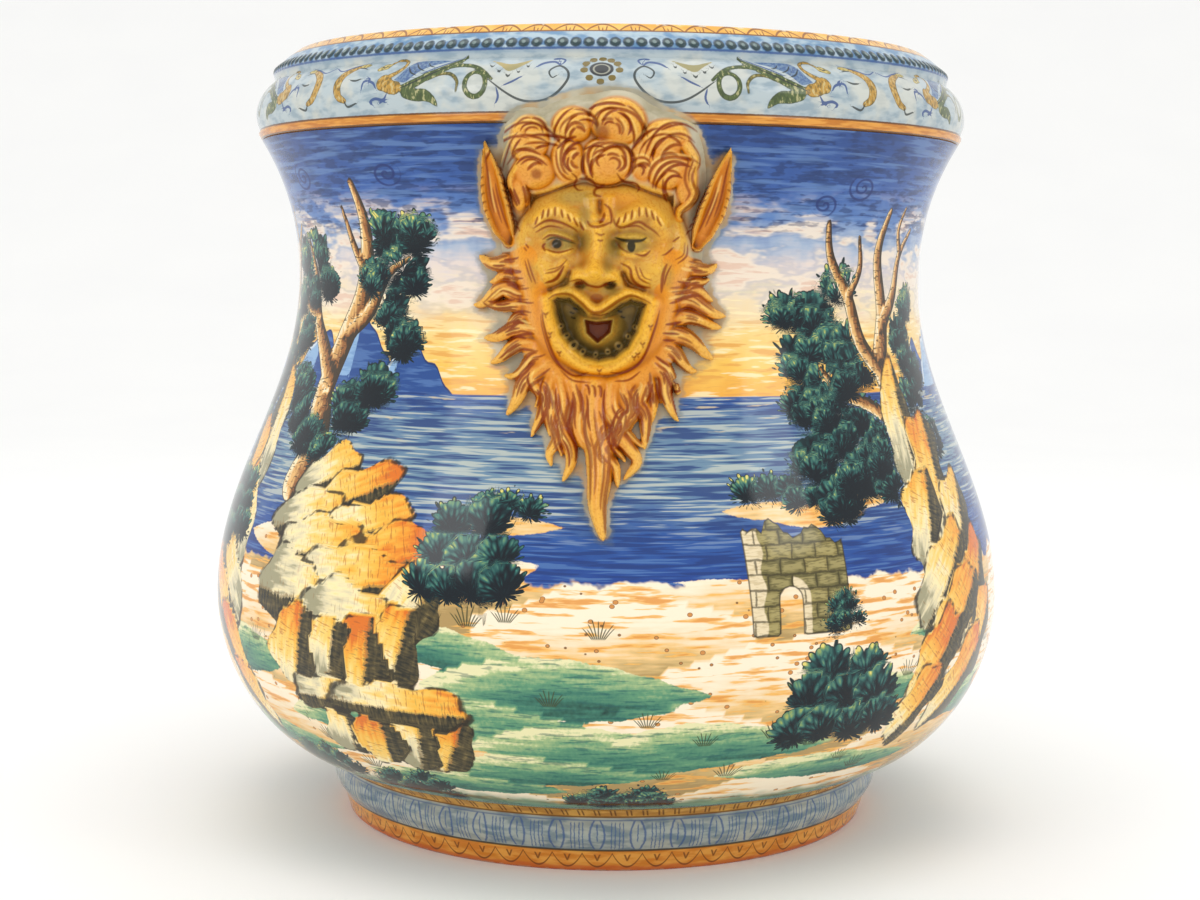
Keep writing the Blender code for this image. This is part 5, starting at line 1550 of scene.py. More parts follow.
def lay_ground(p, colour, z, drift, streak, fine):
    beach = p.ramp(p.field("bank_tone") * 0.8 + (streak - 0.5) * 1.1 + (drift - 0.5) * 0.5 + 0.08, BANK)
    shore = (z + (drift - 0.5) * 16).below(NEAR_SHORE_Z, 0.8)
    everywhere = shore.most((p.field("bank") + (fine - 0.5) * 1.2).above(0, 0.3))
    beach = p.coats(beach, [
        (streak.above(0.555, 0.03) * 0.85, 242, 182, 92),
        (streak.above(0.62, 0.03) * 0.6, 216, 132, 52),
    ])
    stones = p.cells((7.5, 7.5, 6.0))
    beach = p.coats(beach, [
        (stones.below(0.16, 0.015), 120, 84, 50),
        (stones.below(0.13, 0.015), 206, 140, 74),
    ])
    colour = p.mix(everywhere, colour, beach)
    swell = p.ramp(p.field("green_tone") * 0.85 + (streak - 0.5) * 0.8 + (fine - 0.5) * 0.3 - 0.05, SWELL)
    swell = p.mix(p.noise((10, 10, 1.1), 2).above(0.60, 0.03) * 0.5, swell, rgb(36, 92, 92))
    green = p.field("green") + (fine - 0.5) * 1.6
    colour = p.mix(green.above(0, 0.3), colour, swell)
    low = (z + (drift - 0.5) * 9).below(40, 2.5)
    colour = p.mix(low * 0.9, colour, p.ramp(streak * 1.3 - 0.1, SWELL))
    # painted shade: a dark olive strip along the bottom of the belly, where it turns in over the foot
    colour = p.mix((z + (fine - 0.5) * 2).below(33.2, 0.6), colour, rgb(62, 74, 50))
    return lay_grass(p, colour)


def lay_grass(p, colour):
    """Thin blades that fan out from the root of each tuft."""
    x, y = p.field("grass_x"), p.field("grass_y")
    spread = y * y * 0.5 + y + 0.3
    lean = x / spread * 5.5 + 0.5
    blade, drawn = lean.floor(), p.field("grass").above(0.4, 0.4)
    uneven = p.noise(1, 1, vector=p.joined(blade * 0.73, drawn, 0.0))
    tip = (uneven - 0.5) * 1.8 + 0.62 - abs(blade) * 0.05
    away = abs(lean.fraction() - 0.5) * spread
    mark = (away + y * 0.05).below(0.15, 0.05) * (tip - y).above(0, 0.05) * y.above(0, 0.04)
    mark = mark * abs(blade).below(4.5, 0.1) * drawn
    return p.mix(mark * 0.85, colour, rgb(60, 66, 38))


def lay_rocks(p, colour, drift, fine):
    depth, tone, warm = p.field("rock"), p.field("rock_tone"), p.field("rock_warm")
    x, y = p.field("rock_x"), p.field("rock_y")
    brushed = p.noise(1, 3, vector=p.joined(x * 0.07, y * 0.32, 0.0))
    hatch = p.noise(1, 2, vector=p.joined(x * 0.85, y * 0.16, 0.0))
    lit = p.ramp(warm + (brushed - 0.5) * 0.9 + (drift - 0.5) * 0.4 + 0.07, LIT_ROCK)
    lit = p.coats(lit, [
        (hatch.above(0.60, 0.04) * warm.above(0.25, 0.2) * 0.6, 176, 92, 40),
        (hatch.below(0.36, 0.03) * tone.below(0.9, 0.1) * 0.5, 150, 116, 66),
    ])
    shadow = p.ramp(hatch * 0.9 + (brushed - 0.5) * 0.8, DARK_ROCK)
    shade = tone + (hatch - 0.5) * 0.55 + (brushed - 0.5) * 0.35
    stone = p.mix(shade.below(0.44, 0.07), lit, shadow)
    stone = p.mix(abs(shade - 0.50).below(0.05, 0.05) * 0.7, stone, rgb(138, 108, 62))
    colour = p.mix((depth + (fine - 0.5) * 0.8).above(0, 0.25), colour, stone)
    outline = (p.field("rock_edge") + (fine - 0.5) * 0.5).below(0.62, 0.3) * depth.above(-0.7, 0.2)
    return p.mix(outline * 0.9, colour, rgb(40, 34, 24))


def lay_bricks(p, colour, fine):
    x, y, depth = p.field("brick_x"), p.field("brick_y"), p.field("brick")
    wobble = (p.noise(7.0, 1) - 0.5) * 2.2
    course = (y + wobble) / 6.4
    row = course.floor()
    joint = (x + wobble + row * 5.3) / 11.5
    gap = (abs(course.fraction() - 0.5) * 6.4).most(abs(joint.fraction() - 0.5) * 11.5 - 2.55)
    lot = p.noise(1, 1, vector=p.joined(row * 1.7, joint.floor() * 1.3, 0.5))
    hatch = p.noise((4.5, 4.5, 0.7), 2)
    block = p.mix(lot.above(0.5, 0.08), rgb(112, 104, 62), rgb(150, 136, 82))
    block = p.coats(block, [
        ((gap + (hatch - 0.5) * 3).below(1.7, 0.9) * 0.6, 178, 164, 108),
        (hatch.above(0.56, 0.06) * 0.55, 84, 78, 44),
    ])
    lit = p.mix(hatch.above(0.55, 0.06) * 0.5, rgb(232, 214, 176), rgb(190, 168, 122))
    block = p.mix((p.field("brick_lit") + (fine - 0.5) * 0.8).above(0, 0.4), block, lit)
    block = p.mix((gap + (fine - 0.5) * 0.9).above(2.75, 0.3) * 0.75, block, rgb(58, 52, 30))
    colour = p.mix(depth.above(0, 0.3), colour, block)
    return p.mix(abs(depth - 0.1).below(0.35, 0.3) * 0.8, colour, rgb(48, 44, 30))


def lay_trees(p, colour, fine):
    depth, side = p.field("wood"), p.field("wood_side")
    grain = p.noise((1.6, 1.6, 6.0), 2)
    bark = p.mix((side + (grain - 0.5) * 1.6).above(0.15, 0.35), rgb(150, 96, 48), rgb(232, 182, 112))
    bark = p.coats(bark, [
        ((side + (grain - 0.5) * 0.8).above(0.72, 0.15), 250, 232, 190),
        ((side + (grain - 0.5) * 1.5).below(-0.42, 0.18), 64, 50, 34),
    ])
    ticks = p.noise((3.4, 3.4, 0.8), 1)
    bark = p.coats(bark, [
        (ticks.above(0.62, 0.03) * 0.8, 62, 44, 28),
        (depth.below(0.35, 0.2) * 0.9, 48, 36, 26),
    ])
    colour = p.mix(depth.above(-0.15, 0.2), colour, bark)
    x, y, seed = p.field("leaf_x"), p.field("leaf_y"), p.field("leaf_seed")
    root = y + 0.35
    turn, out = p.maths("ARCTAN2", x, root), p.length(x, root)
    blades = p.cells(1, vector=p.joined(turn * 5.4, out * 1.9, seed))
    veins = p.noise(1, 2, vector=p.joined(turn * 9.0, out * 2.0, seed + 3))
    edge = p.field("leaf") + (0.45 - blades) * 5.6 - 0.6
    tone = out * 0.46 - (blades - 0.30) + (y - x) * 0.16 + (veins - 0.5) * 0.55 + 0.02
    tone = tone - p.field("leaf_dusk") * 0.8
    leaves = p.ramp(tone, FOLIAGE)
    leaves = p.coats(leaves, [
        (veins.below(0.36, 0.04) * 0.6, 16, 34, 40),
        (fine.above(0.66, 0.03) * tone.above(0.35, 0.1) * 0.5, 64, 148, 134),
    ])
    colour = p.mix((edge + 0.9).above(0, 0.3), colour, rgb(20, 40, 42))
    return p.mix(edge.above(0, 0.25), colour, leaves)


def lay_bare_glaze(p, colour, depth, drift, bare):
    """The bare glaze round the masks, browned where paint ran off the locks."""
    grey = p.mix(drift.above(0.5, 0.14), bare, rgb(156, 150, 128))
    grey = p.mix(p.noise(13.0, 2).above(0.52, 0.08) * 0.65, grey, rgb(196, 150, 84))
    brushed = p.noise((5.0, 5.0, 2.4), 3)
    edge = depth + (drift - 0.5) * 7.0 + (brushed - 0.5) * 6.0
    colour = p.mix(edge.above(0.4, 1.2) * 0.35, colour, rgb(96, 112, 122))
    return p.mix(edge.above(2.6, 1.2) * (0.92 - (brushed - 0.5) * 0.5), colour, grey)


def glaze_bump(p, fine):
    """Brush marks and the faint waves of a thick tin glaze."""
    waves = p.noise(24.0, 2)
    pits = p.cells(9.0).below(0.045, 0.02)
    return waves * 1.6 + p.noise(5.0, 2) * 0.25 + fine * 0.05 - pits * 0.35


def landscape_glaze(look):
    p = Paint("landscape_glaze")
    x, _, z = p.split()
    drift, fine = p.noise(14.0, 3), p.noise(1.7, 2)
    streak, dab = p.noise((20, 20, 2.2), 3), p.noise((8, 8, 3.0), 2)
    colour = lay_sky(p, z, drift, streak, dab)
    colour = lay_mountains(p, colour, streak, fine)
    colour = lay_water(p, colour, z, streak, dab)
    colour = lay_ground(p, colour, z, drift, streak, fine)
    colour = lay_bricks(p, colour, fine)
    colour = lay_rocks(p, colour, drift, fine)
    colour = lay_trees(p, colour, fine)
    halo = p.field("halo")
    colour = lay_bare_glaze(p, colour, halo, drift, look.bare_glaze)
    # painted shade: a dark olive-brown patch in the hollow between each ear and the hair
    hollow = abs(abs(x) - 39.5).below(4.0, 2.5) * abs(z - WAIST_Z - 42).below(13, 6) * halo.above(1.5, 1.5)
    colour = p.mix(hollow * 0.65, colour, rgb(122, 98, 48))
    p.gloss()
    return p.finish(colour, 0.11 + (drift - 0.5) * 0.08, glaze_bump(p, fine), 0.35, 0.25)


def tin_glaze(look):
    p = Paint("tin_glaze")
    drift, fine = p.noise(34.0, 3), p.noise(2.4, 2)
    colour = p.mix(drift.above(0.5, 0.2), look.inner_glaze, rgb(214, 206, 184))
    colour = p.mix(p.noise((5, 5, 40), 2).above(0.62, 0.06) * 0.35, colour, rgb(190, 176, 146))
    crackle = p.cells(13.0, feature="DISTANCE_TO_EDGE")
    colour = p.mix(crackle.below(0.012, 0.01) * 0.1, colour, rgb(140, 120, 92))
    p.gloss()
    return p.finish(colour, 0.16 + (drift - 0.5) * 0.1, glaze_bump(p, fine), 0.3, 0.25)


def bare_clay(look):
    p = Paint("bare_clay")
    grain, drift = p.noise(0.9, 3), p.noise(18.0, 3)
    colour = p.mix(drift.above(0.5, 0.2), look.clay, rgb(206, 158, 118))
    colour = p.mix(grain.above(0.58, 0.06) * 0.4, colour, rgb(146, 92, 60))
    return p.finish(colour, 0.82 + (grain - 0.5) * 0.15, grain, 0.4, 0.3)


# Bands of the collar and the foot, and the paint of the masks

# Heights over the neck: the orange band's edges, where the blue of painted shade begins in the fillet, and
# the line under the beads
ORANGE_EDGES, BLUE_SHADE_EDGE, BEAD_LINE = (0.7, 4.5), 29.4, 31.1
# Heights of the foot: the slanting ticks, the lines below and over them, the torus and the line on it
TICKS_Z, GOLD_LOW_Z, GOLD_HIGH_Z = 28.6, 26.4, 30.9
TORUS_Z, TORUS_HALF, BLUE_LINE_Z = 18, 8, 24.9


def lay_ornament(p, colour, drift, fine):
    """The grotesques of the collar, in their own greens, golds and blues."""
    medallion, pearl = p.field("medallion"), p.field("pearl")
    beast, tone = p.field("beast"), p.field("beast_tone")
    soft = (fine - 0.5) * 0.35
    gold = p.mix(drift.above(0.5, 0.1), rgb(190, 164, 92), rgb(148, 138, 82))
    feathers = p.mix(fine.above(0.5, 0.12), rgb(62, 92, 142), rgb(104, 132, 164))
    colour = p.mix((p.field("wing") + soft).above(0.1, 0.2) * 0.9, colour, feathers)
    colour = p.mix((p.field("gold") + soft).above(0.1, 0.2) * 0.9, colour, gold)
    hide = p.mix(tone.above(0.45, 0.2), rgb(88, 102, 62), rgb(186, 144, 66))
    hide = p.mix(tone.above(0.92, 0.03), hide, rgb(200, 178, 104))
    strokes = p.noise((1.3, 1.3, 3.0), 2)
    hide = p.coats(hide, [
        (strokes.above(0.56, 0.05) * 0.6, 62, 74, 52),
        (strokes.below(0.40, 0.05) * 0.6, 206, 198, 146),
        (beast.below(0.35, 0.2) * 0.7, 66, 74, 58),
    ])
    colour = p.mix((beast + soft).above(0, 0.2), colour, hide)
    colour = p.coats(colour, [
        ((pearl + soft).above(0.1, 0.15), 122, 106, 58),
        ((medallion + soft).above(0, 0.2), 62, 64, 66),
        (medallion.above(1.0, 0.2) * medallion.below(1.5, 0.2) * 0.8, 176, 176, 160),
        (p.line("wisp") * 0.9, 56, 80, 132),
    ])
    return p.mix(p.line("ink") * 0.9, colour, rgb(52, 58, 56))


def collar_glaze(look):
    p = Paint("collar_glaze")
    x, y, z = p.split()
    z = z - NECK_Z
    drift, fine = p.noise(16.0, 3), p.noise(1.4, 2)
    wash = p.noise((9, 9, 3.4), 3)
    # blue-white ground, with the brushed blue showing in it, and bluer painted shade at its top in the fillet
    # under the beads
    colour = p.mix(wash.above(0.54, 0.12) * 0.8, look.collar_ground, rgb(138, 158, 170))
    colour = p.coats(colour, [
        (drift.above(0.54, 0.08) * 0.5, 216, 212, 194),
        # painted shade: bluer towards the top of the ground
        (z.above(BLUE_SHADE_EDGE, 1.2) * 0.4, 116, 146, 176),
    ])
    colour = lay_ornament(p, colour, drift, fine)
    # orange band between dark lines, at the foot of the collar
    band = (z + (fine - 0.5) * 0.5).below(COLLAR_FOOT_Z - NECK_Z, 0.2)
    orange = p.mix(p.noise((12, 12, 1.2), 2).above(0.5, 0.12), look.orange_band, rgb(196, 122, 42))
    colour = p.mix(band, colour, orange)
    for edge in ORANGE_EDGES:
        line = abs(z - edge + (fine - 0.5) * 0.3).below(0.42, 0.12)
        colour = p.mix(line * 0.85, colour, rgb(84, 50, 26))
    # the beads in their cove, over a dark blue line, each with a painted highlight on its upper side
    cove = z.above(BEAD_LINE - 0.2, 0.3)
    colour = p.mix(cove, colour, p.mix(wash.above(0.5, 0.12), rgb(170, 190, 200), rgb(96, 136, 172)))
    colour = p.mix(abs(z - BEAD_LINE + (fine - 0.5) * 0.4).below(0.5, 0.3) * 0.85, colour, rgb(56, 86, 140))
    turn = p.around(x, y, look.beads)
    u, v = turn / BEAD_SHARE, (z - (BEAD_COVE_Z - NECK_Z) + BEAD_DROP) / 2.0
    bead = p.length(u, v) + (fine - 0.5) * 0.25
    colour = p.coats(colour, [
        (bead.below(1.12, 0.08) * 0.7, 40, 58, 96),
        (bead.below(0.96, 0.08), 52, 70, 74),
        # painted highlight on each bead
        ((bead - v * 0.35 + u * 0.2).below(0.34, 0.14) * 0.8, 126, 144, 142),
    ])
    # the lip: yellow with brown scallops and ticks
    lip_z = z - (LIP_BAND_Z - NECK_Z)
    lip = z.above(LIP_BAND_Z - NECK_Z - 0.2, 0.15)
    yellow = p.mix(wash.above(0.5, 0.1), look.lip_yellow, rgb(232, 170, 66))
    colour = p.mix(lip, colour, yellow)
    colour = p.mix(abs(lip_z).below(0.34, 0.1) * 0.85, colour, rgb(96, 58, 30))
    arch = p.around(x, y, look.lip_arches)
    rise = lip_z / 3.0
    curve = abs(rise - (1.05 - arch * arch * 4.4)).below(0.14, 0.06)
    tick = abs(abs(arch) - 0.10 - 0.05 * rise).below(0.022, 0.012) * rise.below(0.75, 0.1)
    middle = abs(arch).below(0.018, 0.01) * rise.below(0.5, 0.1)
    colour = p.mix(curve.most(tick).most(middle) * lip * 0.85, colour, rgb(128, 70, 30))
    inner = p.length(x, y).below(LIP_R - 3.0, 0.6)
    colour = p.mix(inner, colour, look.inner_glaze)
    # orange runs off and the grey glaze floods in where the hair of a mask meets the band
    colour = lay_bare_glaze(p, colour, p.field("halo"), drift, look.bare_glaze)
    worn = z.above(LIP_Z - NECK_Z - 0.9, 0.3) * p.noise(5.0, 3).above(0.62, 0.04)
    colour = p.mix(worn * 0.8, colour, rgb(232, 216, 186))
    p.gloss()
    bump = glaze_bump(p, fine) + bead.below(0.9, 0.5) * cove * 0.9
    return p.finish(colour, 0.13 + (drift - 0.5) * 0.08, bump, 0.4, 0.3)


def foot_glaze(look):
    p = Paint("foot_glaze")
    x, y, z = p.split()
    drift, fine = p.noise(14.0, 3), p.noise(1.5, 2)
    wash = p.noise((12, 12, 3.0), 3)
    # gold band of slanting double ticks at the top
    gold = p.mix(wash.above(0.5, 0.12), rgb(214, 160, 74), rgb(184, 128, 54))
    dash = p.around(x, y, look.foot_ticks) + (z - TICKS_Z) * 0.035
    ticks = (abs(dash - 0.12).least(abs(dash + 0.14))).below(0.055, 0.03)
    ticks = ticks * abs(z - TICKS_Z - 0.1).below(1.6, 0.4)
    edges = abs(z - GOLD_LOW_Z).below(0.4, 0.15).most(abs(z - GOLD_HIGH_Z).below(0.35, 0.15))
    gold = p.coats(gold, [
        (ticks * 0.85, 100, 62, 28),
        (edges * 0.8, 96, 60, 30),
    ])
    # grey-blue torus with blue strokes, and leaves between the pairs of strokes
    blue = p.mix(wash.above(0.50, 0.12), rgb(164, 172, 166), rgb(112, 130, 138))
    blue = p.mix(drift.above(0.56, 0.07) * 0.45, blue, rgb(184, 182, 162))
    turn = p.around(x, y, look.foot_leaves) + (fine - 0.5) * 0.05
    rise = (z - TORUS_Z) / TORUS_HALF
    petal = abs(abs(turn) - 0.15 * (1 - rise * rise) - 0.035).below(0.026, 0.018)
    petal = petal * abs(rise).below(0.86, 0.06)
    stem = abs(abs(abs(turn) - 0.40) - 0.045).below(0.014, 0.012) * abs(rise + 0.05).below(0.80, 0.08)
    heart = abs(turn).below(0.016, 0.012) * abs(rise - 0.15).below(0.5, 0.1)
    blue = p.coats(blue, [
        (petal.most(stem).most(heart) * 0.85, 66, 92, 140),
        (abs(z - BLUE_LINE_Z).below(0.3, 0.15) * 0.7, 84, 104, 140),
    ])
    colour = p.mix(z.above(FOOT_NECK_Z, 0.2), blue, gold)
    # orange base with brown scallops, red below
    orange = p.mix(wash.above(0.5, 0.12), look.orange_band, rgb(206, 124, 40))
    orange = p.mix((z + (drift - 0.5) * 3).below(2.6, 0.8) * 0.7, orange, rgb(190, 84, 38))
    arch = p.around(x, y, look.foot_scallops)
    scallop = abs(z - 2.2 - arch * arch * 26).below(0.42, 0.15) * z.below(FOOT_BAND_Z - 1, 0.3)
    spear = abs(abs(arch) - (z - 5.2) * 0.030).below(0.03, 0.015) * abs(z - 6.6).below(1.6, 0.3)
    orange = p.mix(scallop.most(spear) * 0.85, orange, rgb(112, 62, 28))
    colour = p.mix(z.below(FOOT_BAND_Z, 0.15), colour, orange)
    colour = p.mix(abs(z - FOOT_BAND_Z - 0.1).below(0.55, 0.15) * 0.9, colour, rgb(58, 54, 36))
    worn = z.below(0.9, 0.4) * p.noise(6.0, 3).above(0.55, 0.05)
    colour = p.mix(worn * 0.9, colour, look.clay)
    p.gloss()
    return p.finish(colour, 0.15 + (drift - 0.5) * 0.1, glaze_bump(p, fine), 0.4, 0.3)


def mask_glaze(look):
    """Straw, ochre and brown brushed over the relief, pooled in its hollows, with painted shade in the
    hollows and painted highlights on the crests.
    """
    p = Paint("mask_glaze")
    drift, fine = p.noise(12.0, 3), p.noise(1.2, 2)
    pool = p.field("pool") + (drift - 0.5) * 0.3
    straw, ochre = p.field("straw"), p.field("ochre")
    painted = straw.most(ochre)
    colour = p.mix(drift.above(0.5, 0.14), look.bare_glaze, rgb(172, 164, 136))
    colour = p.mix(straw * 0.95, colour, look.mask_straw)
    colour = p.mix(ochre * (0.9 + 0.3 * pool), colour, look.mask_ochre)
    # painted highlights pale the crests and painted shade darkens the hollows, over the real pooling of the
    # paint
    colour = p.coats(colour, [
        ((pool * -0.8).least(0.6) * painted, 250, 192, 58),
        ((pool * 1.1).least(0.75) * painted, 140, 64, 10),
        (pool.above(0.7, 0.25) * painted * 0.6, 84, 54, 18),
        (fine.above(0.56, 0.10) * painted * 0.35, 196, 112, 20),
        # olive: painted shade in the face's hollows, and the olive of the eyes and the mouth
        (p.field("green") * (0.75 + (fine - 0.5) * 0.5), 122, 120, 62),
        (p.field("pale") * 0.7, 250, 214, 122),
        (p.field("brown") * 0.92, 124, 36, 2),
        (p.field("dark") * 0.95, 34, 34, 24),
    ])
    p.gloss(0.12, 0.2)
    bump = p.noise(3.0, 2) * 0.3 + fine * 0.08
    return p.finish(colour, 0.12 + (drift - 0.5) * 0.06, bump, 0.35, 0.25)


# Building the pieces


def deselect():
    if bpy.context.object is not None and bpy.context.object.mode != "OBJECT":
        bpy.ops.object.mode_set(mode="OBJECT")
    bpy.ops.object.select_all(action="DESELECT")


def place_vertices(mesh, x, y, z):
    """Moves the vertices of a mesh to places in millimetres."""
    places = np.stack([x, y, z], axis=1).astype(float) * MM
    mesh.vertices.foreach_set("co", places.astype(np.float32).ravel())
    mesh.update()


def turn_profile(name, profile, sides):
    """A closed profile of radii and heights, spun round the pot's axis."""
    deselect()
    bpy.ops.mesh.primitive_circle_add(vertices=len(profile), radius=0.1, fill_type="NOTHING")
    piece = bpy.context.object
    piece.name = piece.data.name = name
    radii, heights = np.array(profile, float).T
    place_vertices(piece.data, radii, 0 * radii, heights)
    bpy.ops.object.modifier_add(type="SCREW")
    lathe = piece.modifiers["Screw"]
    lathe.axis, lathe.angle, lathe.steps, lathe.render_steps = "Z", 2 * math.pi, sides, sides
    lathe.use_merge_vertices, lathe.merge_threshold = True, MERGE_GAP * MM
    bpy.ops.object.modifier_apply(modifier=lathe.name)
    bpy.ops.object.mode_set(mode="EDIT")
    bpy.ops.mesh.select_all(action="SELECT")
    bpy.ops.mesh.remove_doubles(threshold=MERGE_GAP * MM)
    bpy.ops.mesh.normals_make_consistent(inside=False)
    bpy.ops.object.mode_set(mode="OBJECT")
    bpy.ops.object.shade_smooth_by_angle(angle=math.radians(50))
    return piece


def finish_by_place(piece, materials, choice):
    """Gives each face the material chosen for it by its radius and height."""
    for material in materials:
        piece.data.materials.append(material)
    x, y, z = read_places(piece.data.polygons, "center").astype(float).T / MM
    piece.data.polygons.foreach_set("material_index", choice(np.hypot(x, y), z).astype(np.int32))


def stands_for(piece, slot, *nodes):
    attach(piece, "root")
    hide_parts(*nodes)


def raise_beads(mesh, count, rise):
    """Lifts the beads of the collar's cove out of its surface."""
    x, y, z = read_places(mesh.vertices, "co").astype(float).T / MM
    radius = np.hypot(x, y)
    turn = np.arctan2(x, -y) / (2 * math.pi) * count
    u = (turn - np.round(turn)) / BEAD_SHARE
    v = (z - BEAD_COVE_Z + BEAD_DROP) / 2.1
    dome = rise * np.clip(1 - u**2 - v**2, 0, 1) ** 0.5
    grown = 1 + np.where(radius > LIP_R, dome, 0) / radius.clip(1)
    place_vertices(mesh, x * grown, y * grown, z)


# Where a mask's parts meet

MASK_PARTS = ("face", "hair", "beard", "whiskers_left", "whiskers_right", "ear_left", "ear_right")
BEARD_EDGE = [(-20, -28), (-34, -62), (-40, -120), (40, -120), (34, -62), (20, -28)]
BEARD_Z = -26.0
HAIR_Z, HAIR_X = 27.0, 40.5
EAR_Z, EAR_ROOT_X = 13.0, 36.5


def mask_part(x, z):
    """The name of the part that each place of the relief belongs to."""
    above = abs(x) > HAIR_X - 0.10 * (z - HAIR_Z)
    root = (abs(x) > EAR_ROOT_X) & (z < HAIR_Z + 6)
    ear = (above | root) & (z > EAR_Z)
    part = np.where(x < 0, "whiskers_left", "whiskers_right")
    part = np.where(ear, np.where(x < 0, "ear_left", "ear_right"), part)
    part = np.where((z > HAIR_Z) & ~ear, "hair", part)
    part = np.where((z < BEARD_Z) & (inside(x, z, BEARD_EDGE) > 0), "beard", part)
    return np.where(inside(x, z, FACE_EDGE) > 0, "face", part)


class Relief:
    """The sculpted mask on its grid of places, cut into parts."""

    def __init__(self, look):
        columns, rows = np.arange(-60, 60.01, MASK_STEP), np.arange(-112, 84.01, MASK_STEP)
        self.x, self.z = np.meshgrid(columns, rows)
        clay = sculpt_mask(self.x, self.z)
        risen = clay.depth - clay.wall
        self.front = clay.wall + np.where(risen > 0, risen * look.mask_relief, risen)
        self.back = clay.wall - 3.0
        self.paint = clay.paint
        shown = blurred((risen > SHOWN_RISE).astype(float), 2) > 0.5
        corners = shown[:-1, :-1] & shown[1:, :-1] & shown[:-1, 1:] & shown[1:, 1:]
        parts = mask_part(self.x[:-1, :-1] + MASK_STEP / 2, self.z[:-1, :-1] + MASK_STEP / 2)
        self.part = np.where(corners, parts, "")
        slope_z, slope_x = np.gradient(self.front, MASK_STEP)
        normal = np.stack([-slope_x, -np.ones_like(slope_x), -slope_z], axis=-1)
        self.normal = normal / np.linalg.norm(normal, axis=-1)[..., None]

    def build(self, name, part, turned):
        """One part as a solid: a grid in the shape of its front, extruded from its back."""
        rows, columns = np.nonzero(self.part == part)
        low_row, low_column = rows.min(), columns.min()
        tall, wide = int(rows.max() + 1 - low_row), int(columns.max() + 1 - low_column)
        deselect()
        bpy.ops.mesh.primitive_grid_add(
            x_subdivisions=wide, y_subdivisions=tall, size=1, rotation=(math.pi / 2, 0, 0),
        )
        piece = bpy.context.object
        bpy.ops.object.transform_apply(location=False, rotation=True, scale=False)
        piece.name = piece.data.name = name
        mesh = piece.data

        def cells(places, snap):
            x, _, z = places.T
            across, up = snap((x + 0.5) * wide).astype(int), snap((z + 0.5) * tall).astype(int)
            return up + low_row, across + low_column

        row, column = cells(read_places(mesh.vertices, "co"), np.round)
        for paint, values in self.paint.items():
            store(mesh, paint, values[row, column])
        store(mesh, "grid_row", row, "INT")
        store(mesh, "grid_column", column, "INT")
        spare = self.part[cells(read_places(mesh.polygons, "center"), np.floor)] != part
        bpy.ops.object.mode_set(mode="EDIT")
        bpy.ops.mesh.select_mode(type="FACE")
        bpy.ops.object.mode_set(mode="OBJECT")
        mesh.polygons.foreach_set("select", spare)
        bpy.ops.object.mode_set(mode="EDIT")
        bpy.ops.mesh.delete(type="FACE")
        bpy.ops.mesh.select_all(action="SELECT")
        bpy.ops.mesh.extrude_region_move(TRANSFORM_OT_translate={"value": (0, -1, 0)})
        bpy.ops.object.mode_set(mode="OBJECT")
        self.shape(mesh, turned)
        return piece

    def shape(self, mesh, turned):
        """Brings the extruded side to the relief and the other side to the back of the wall's skin."""
        fore = read_places(mesh.vertices, "co")[:, 1] < -0.5
        row = read_numbers(mesh.attributes["grid_row"].data, "value")
        column = read_numbers(mesh.attributes["grid_column"].data, "value")
        depth = np.where(fore, self.front[row, column], self.back[row, column])
        side = -1 if turned else 1
        place_vertices(mesh, side * self.x[row, column], -side * depth, self.z[row, column] + WAIST_Z)
        # smooth normals on the front, and the mesh's own on the sides and the back
        loops = read_numbers(mesh.loops, "vertex_index")
        counts = read_numbers(mesh.polygons, "loop_total")
        whole = np.logical_and.reduceat(fore[loops], np.cumsum(counts) - counts)
        normal = self.normal[row, column][loops] * (side, side, 1)
        normal[~np.repeat(whole, counts)] = 0
        mesh.polygons.foreach_set("use_smooth", np.ones(len(counts), bool))
        mesh.normals_split_custom_set(normal)
        for key in ("grid_row", "grid_column"):
            mesh.attributes.remove(mesh.attributes[key])


# Sizes and colours that a user would change


def millimetres(name, description, default, low, high):
    """A length in the panel. It is kept in metres, and shown in the scene's units."""
    return bpy.props.FloatProperty(
        name=name, description=description, default=default * MM, min=low * MM, max=high * MM,
        subtype="DISTANCE", unit="LENGTH", precision=4,
    )


def whole_number(name, description, default, low, high):
    return bpy.props.IntProperty(
        name=name, description=description, default=default, min=low, max=high,
    )


def colour(name, description, *default):
    return bpy.props.FloatVectorProperty(
        name=name, description=description, default=rgb(*default), size=4, subtype="COLOR", min=0, max=1,
    )


class JardiniereSizes(bpy.types.PropertyGroup):
    beads: whole_number("Beads", "Beads in the cove under the lip", 188, 60, 300)
    bead_rise: millimetres("Bead Rise", "How far a bead stands out of the cove", 0.8, 0, 2)
    lip_arches: whole_number("Lip Arches", "Painted arches round the lip", 72, 24, 160)
    foot_ticks: whole_number("Foot Ticks", "Pairs of slanting ticks round the top of the foot", 120, 40, 240)
    foot_leaves: whole_number("Foot Leaves", "Brushed leaves round the foot's moulding", 47, 16, 96)
    foot_scallops: whole_number("Foot Scallops", "Painted scallops round the base of the foot", 61, 20, 120)
    mask_relief: bpy.props.FloatProperty(
        name="Mask Relief", description="Height of the masks' modelling, as a share of the real one",
        default=1.0, min=0.3, max=1.0, subtype="FACTOR",
    )


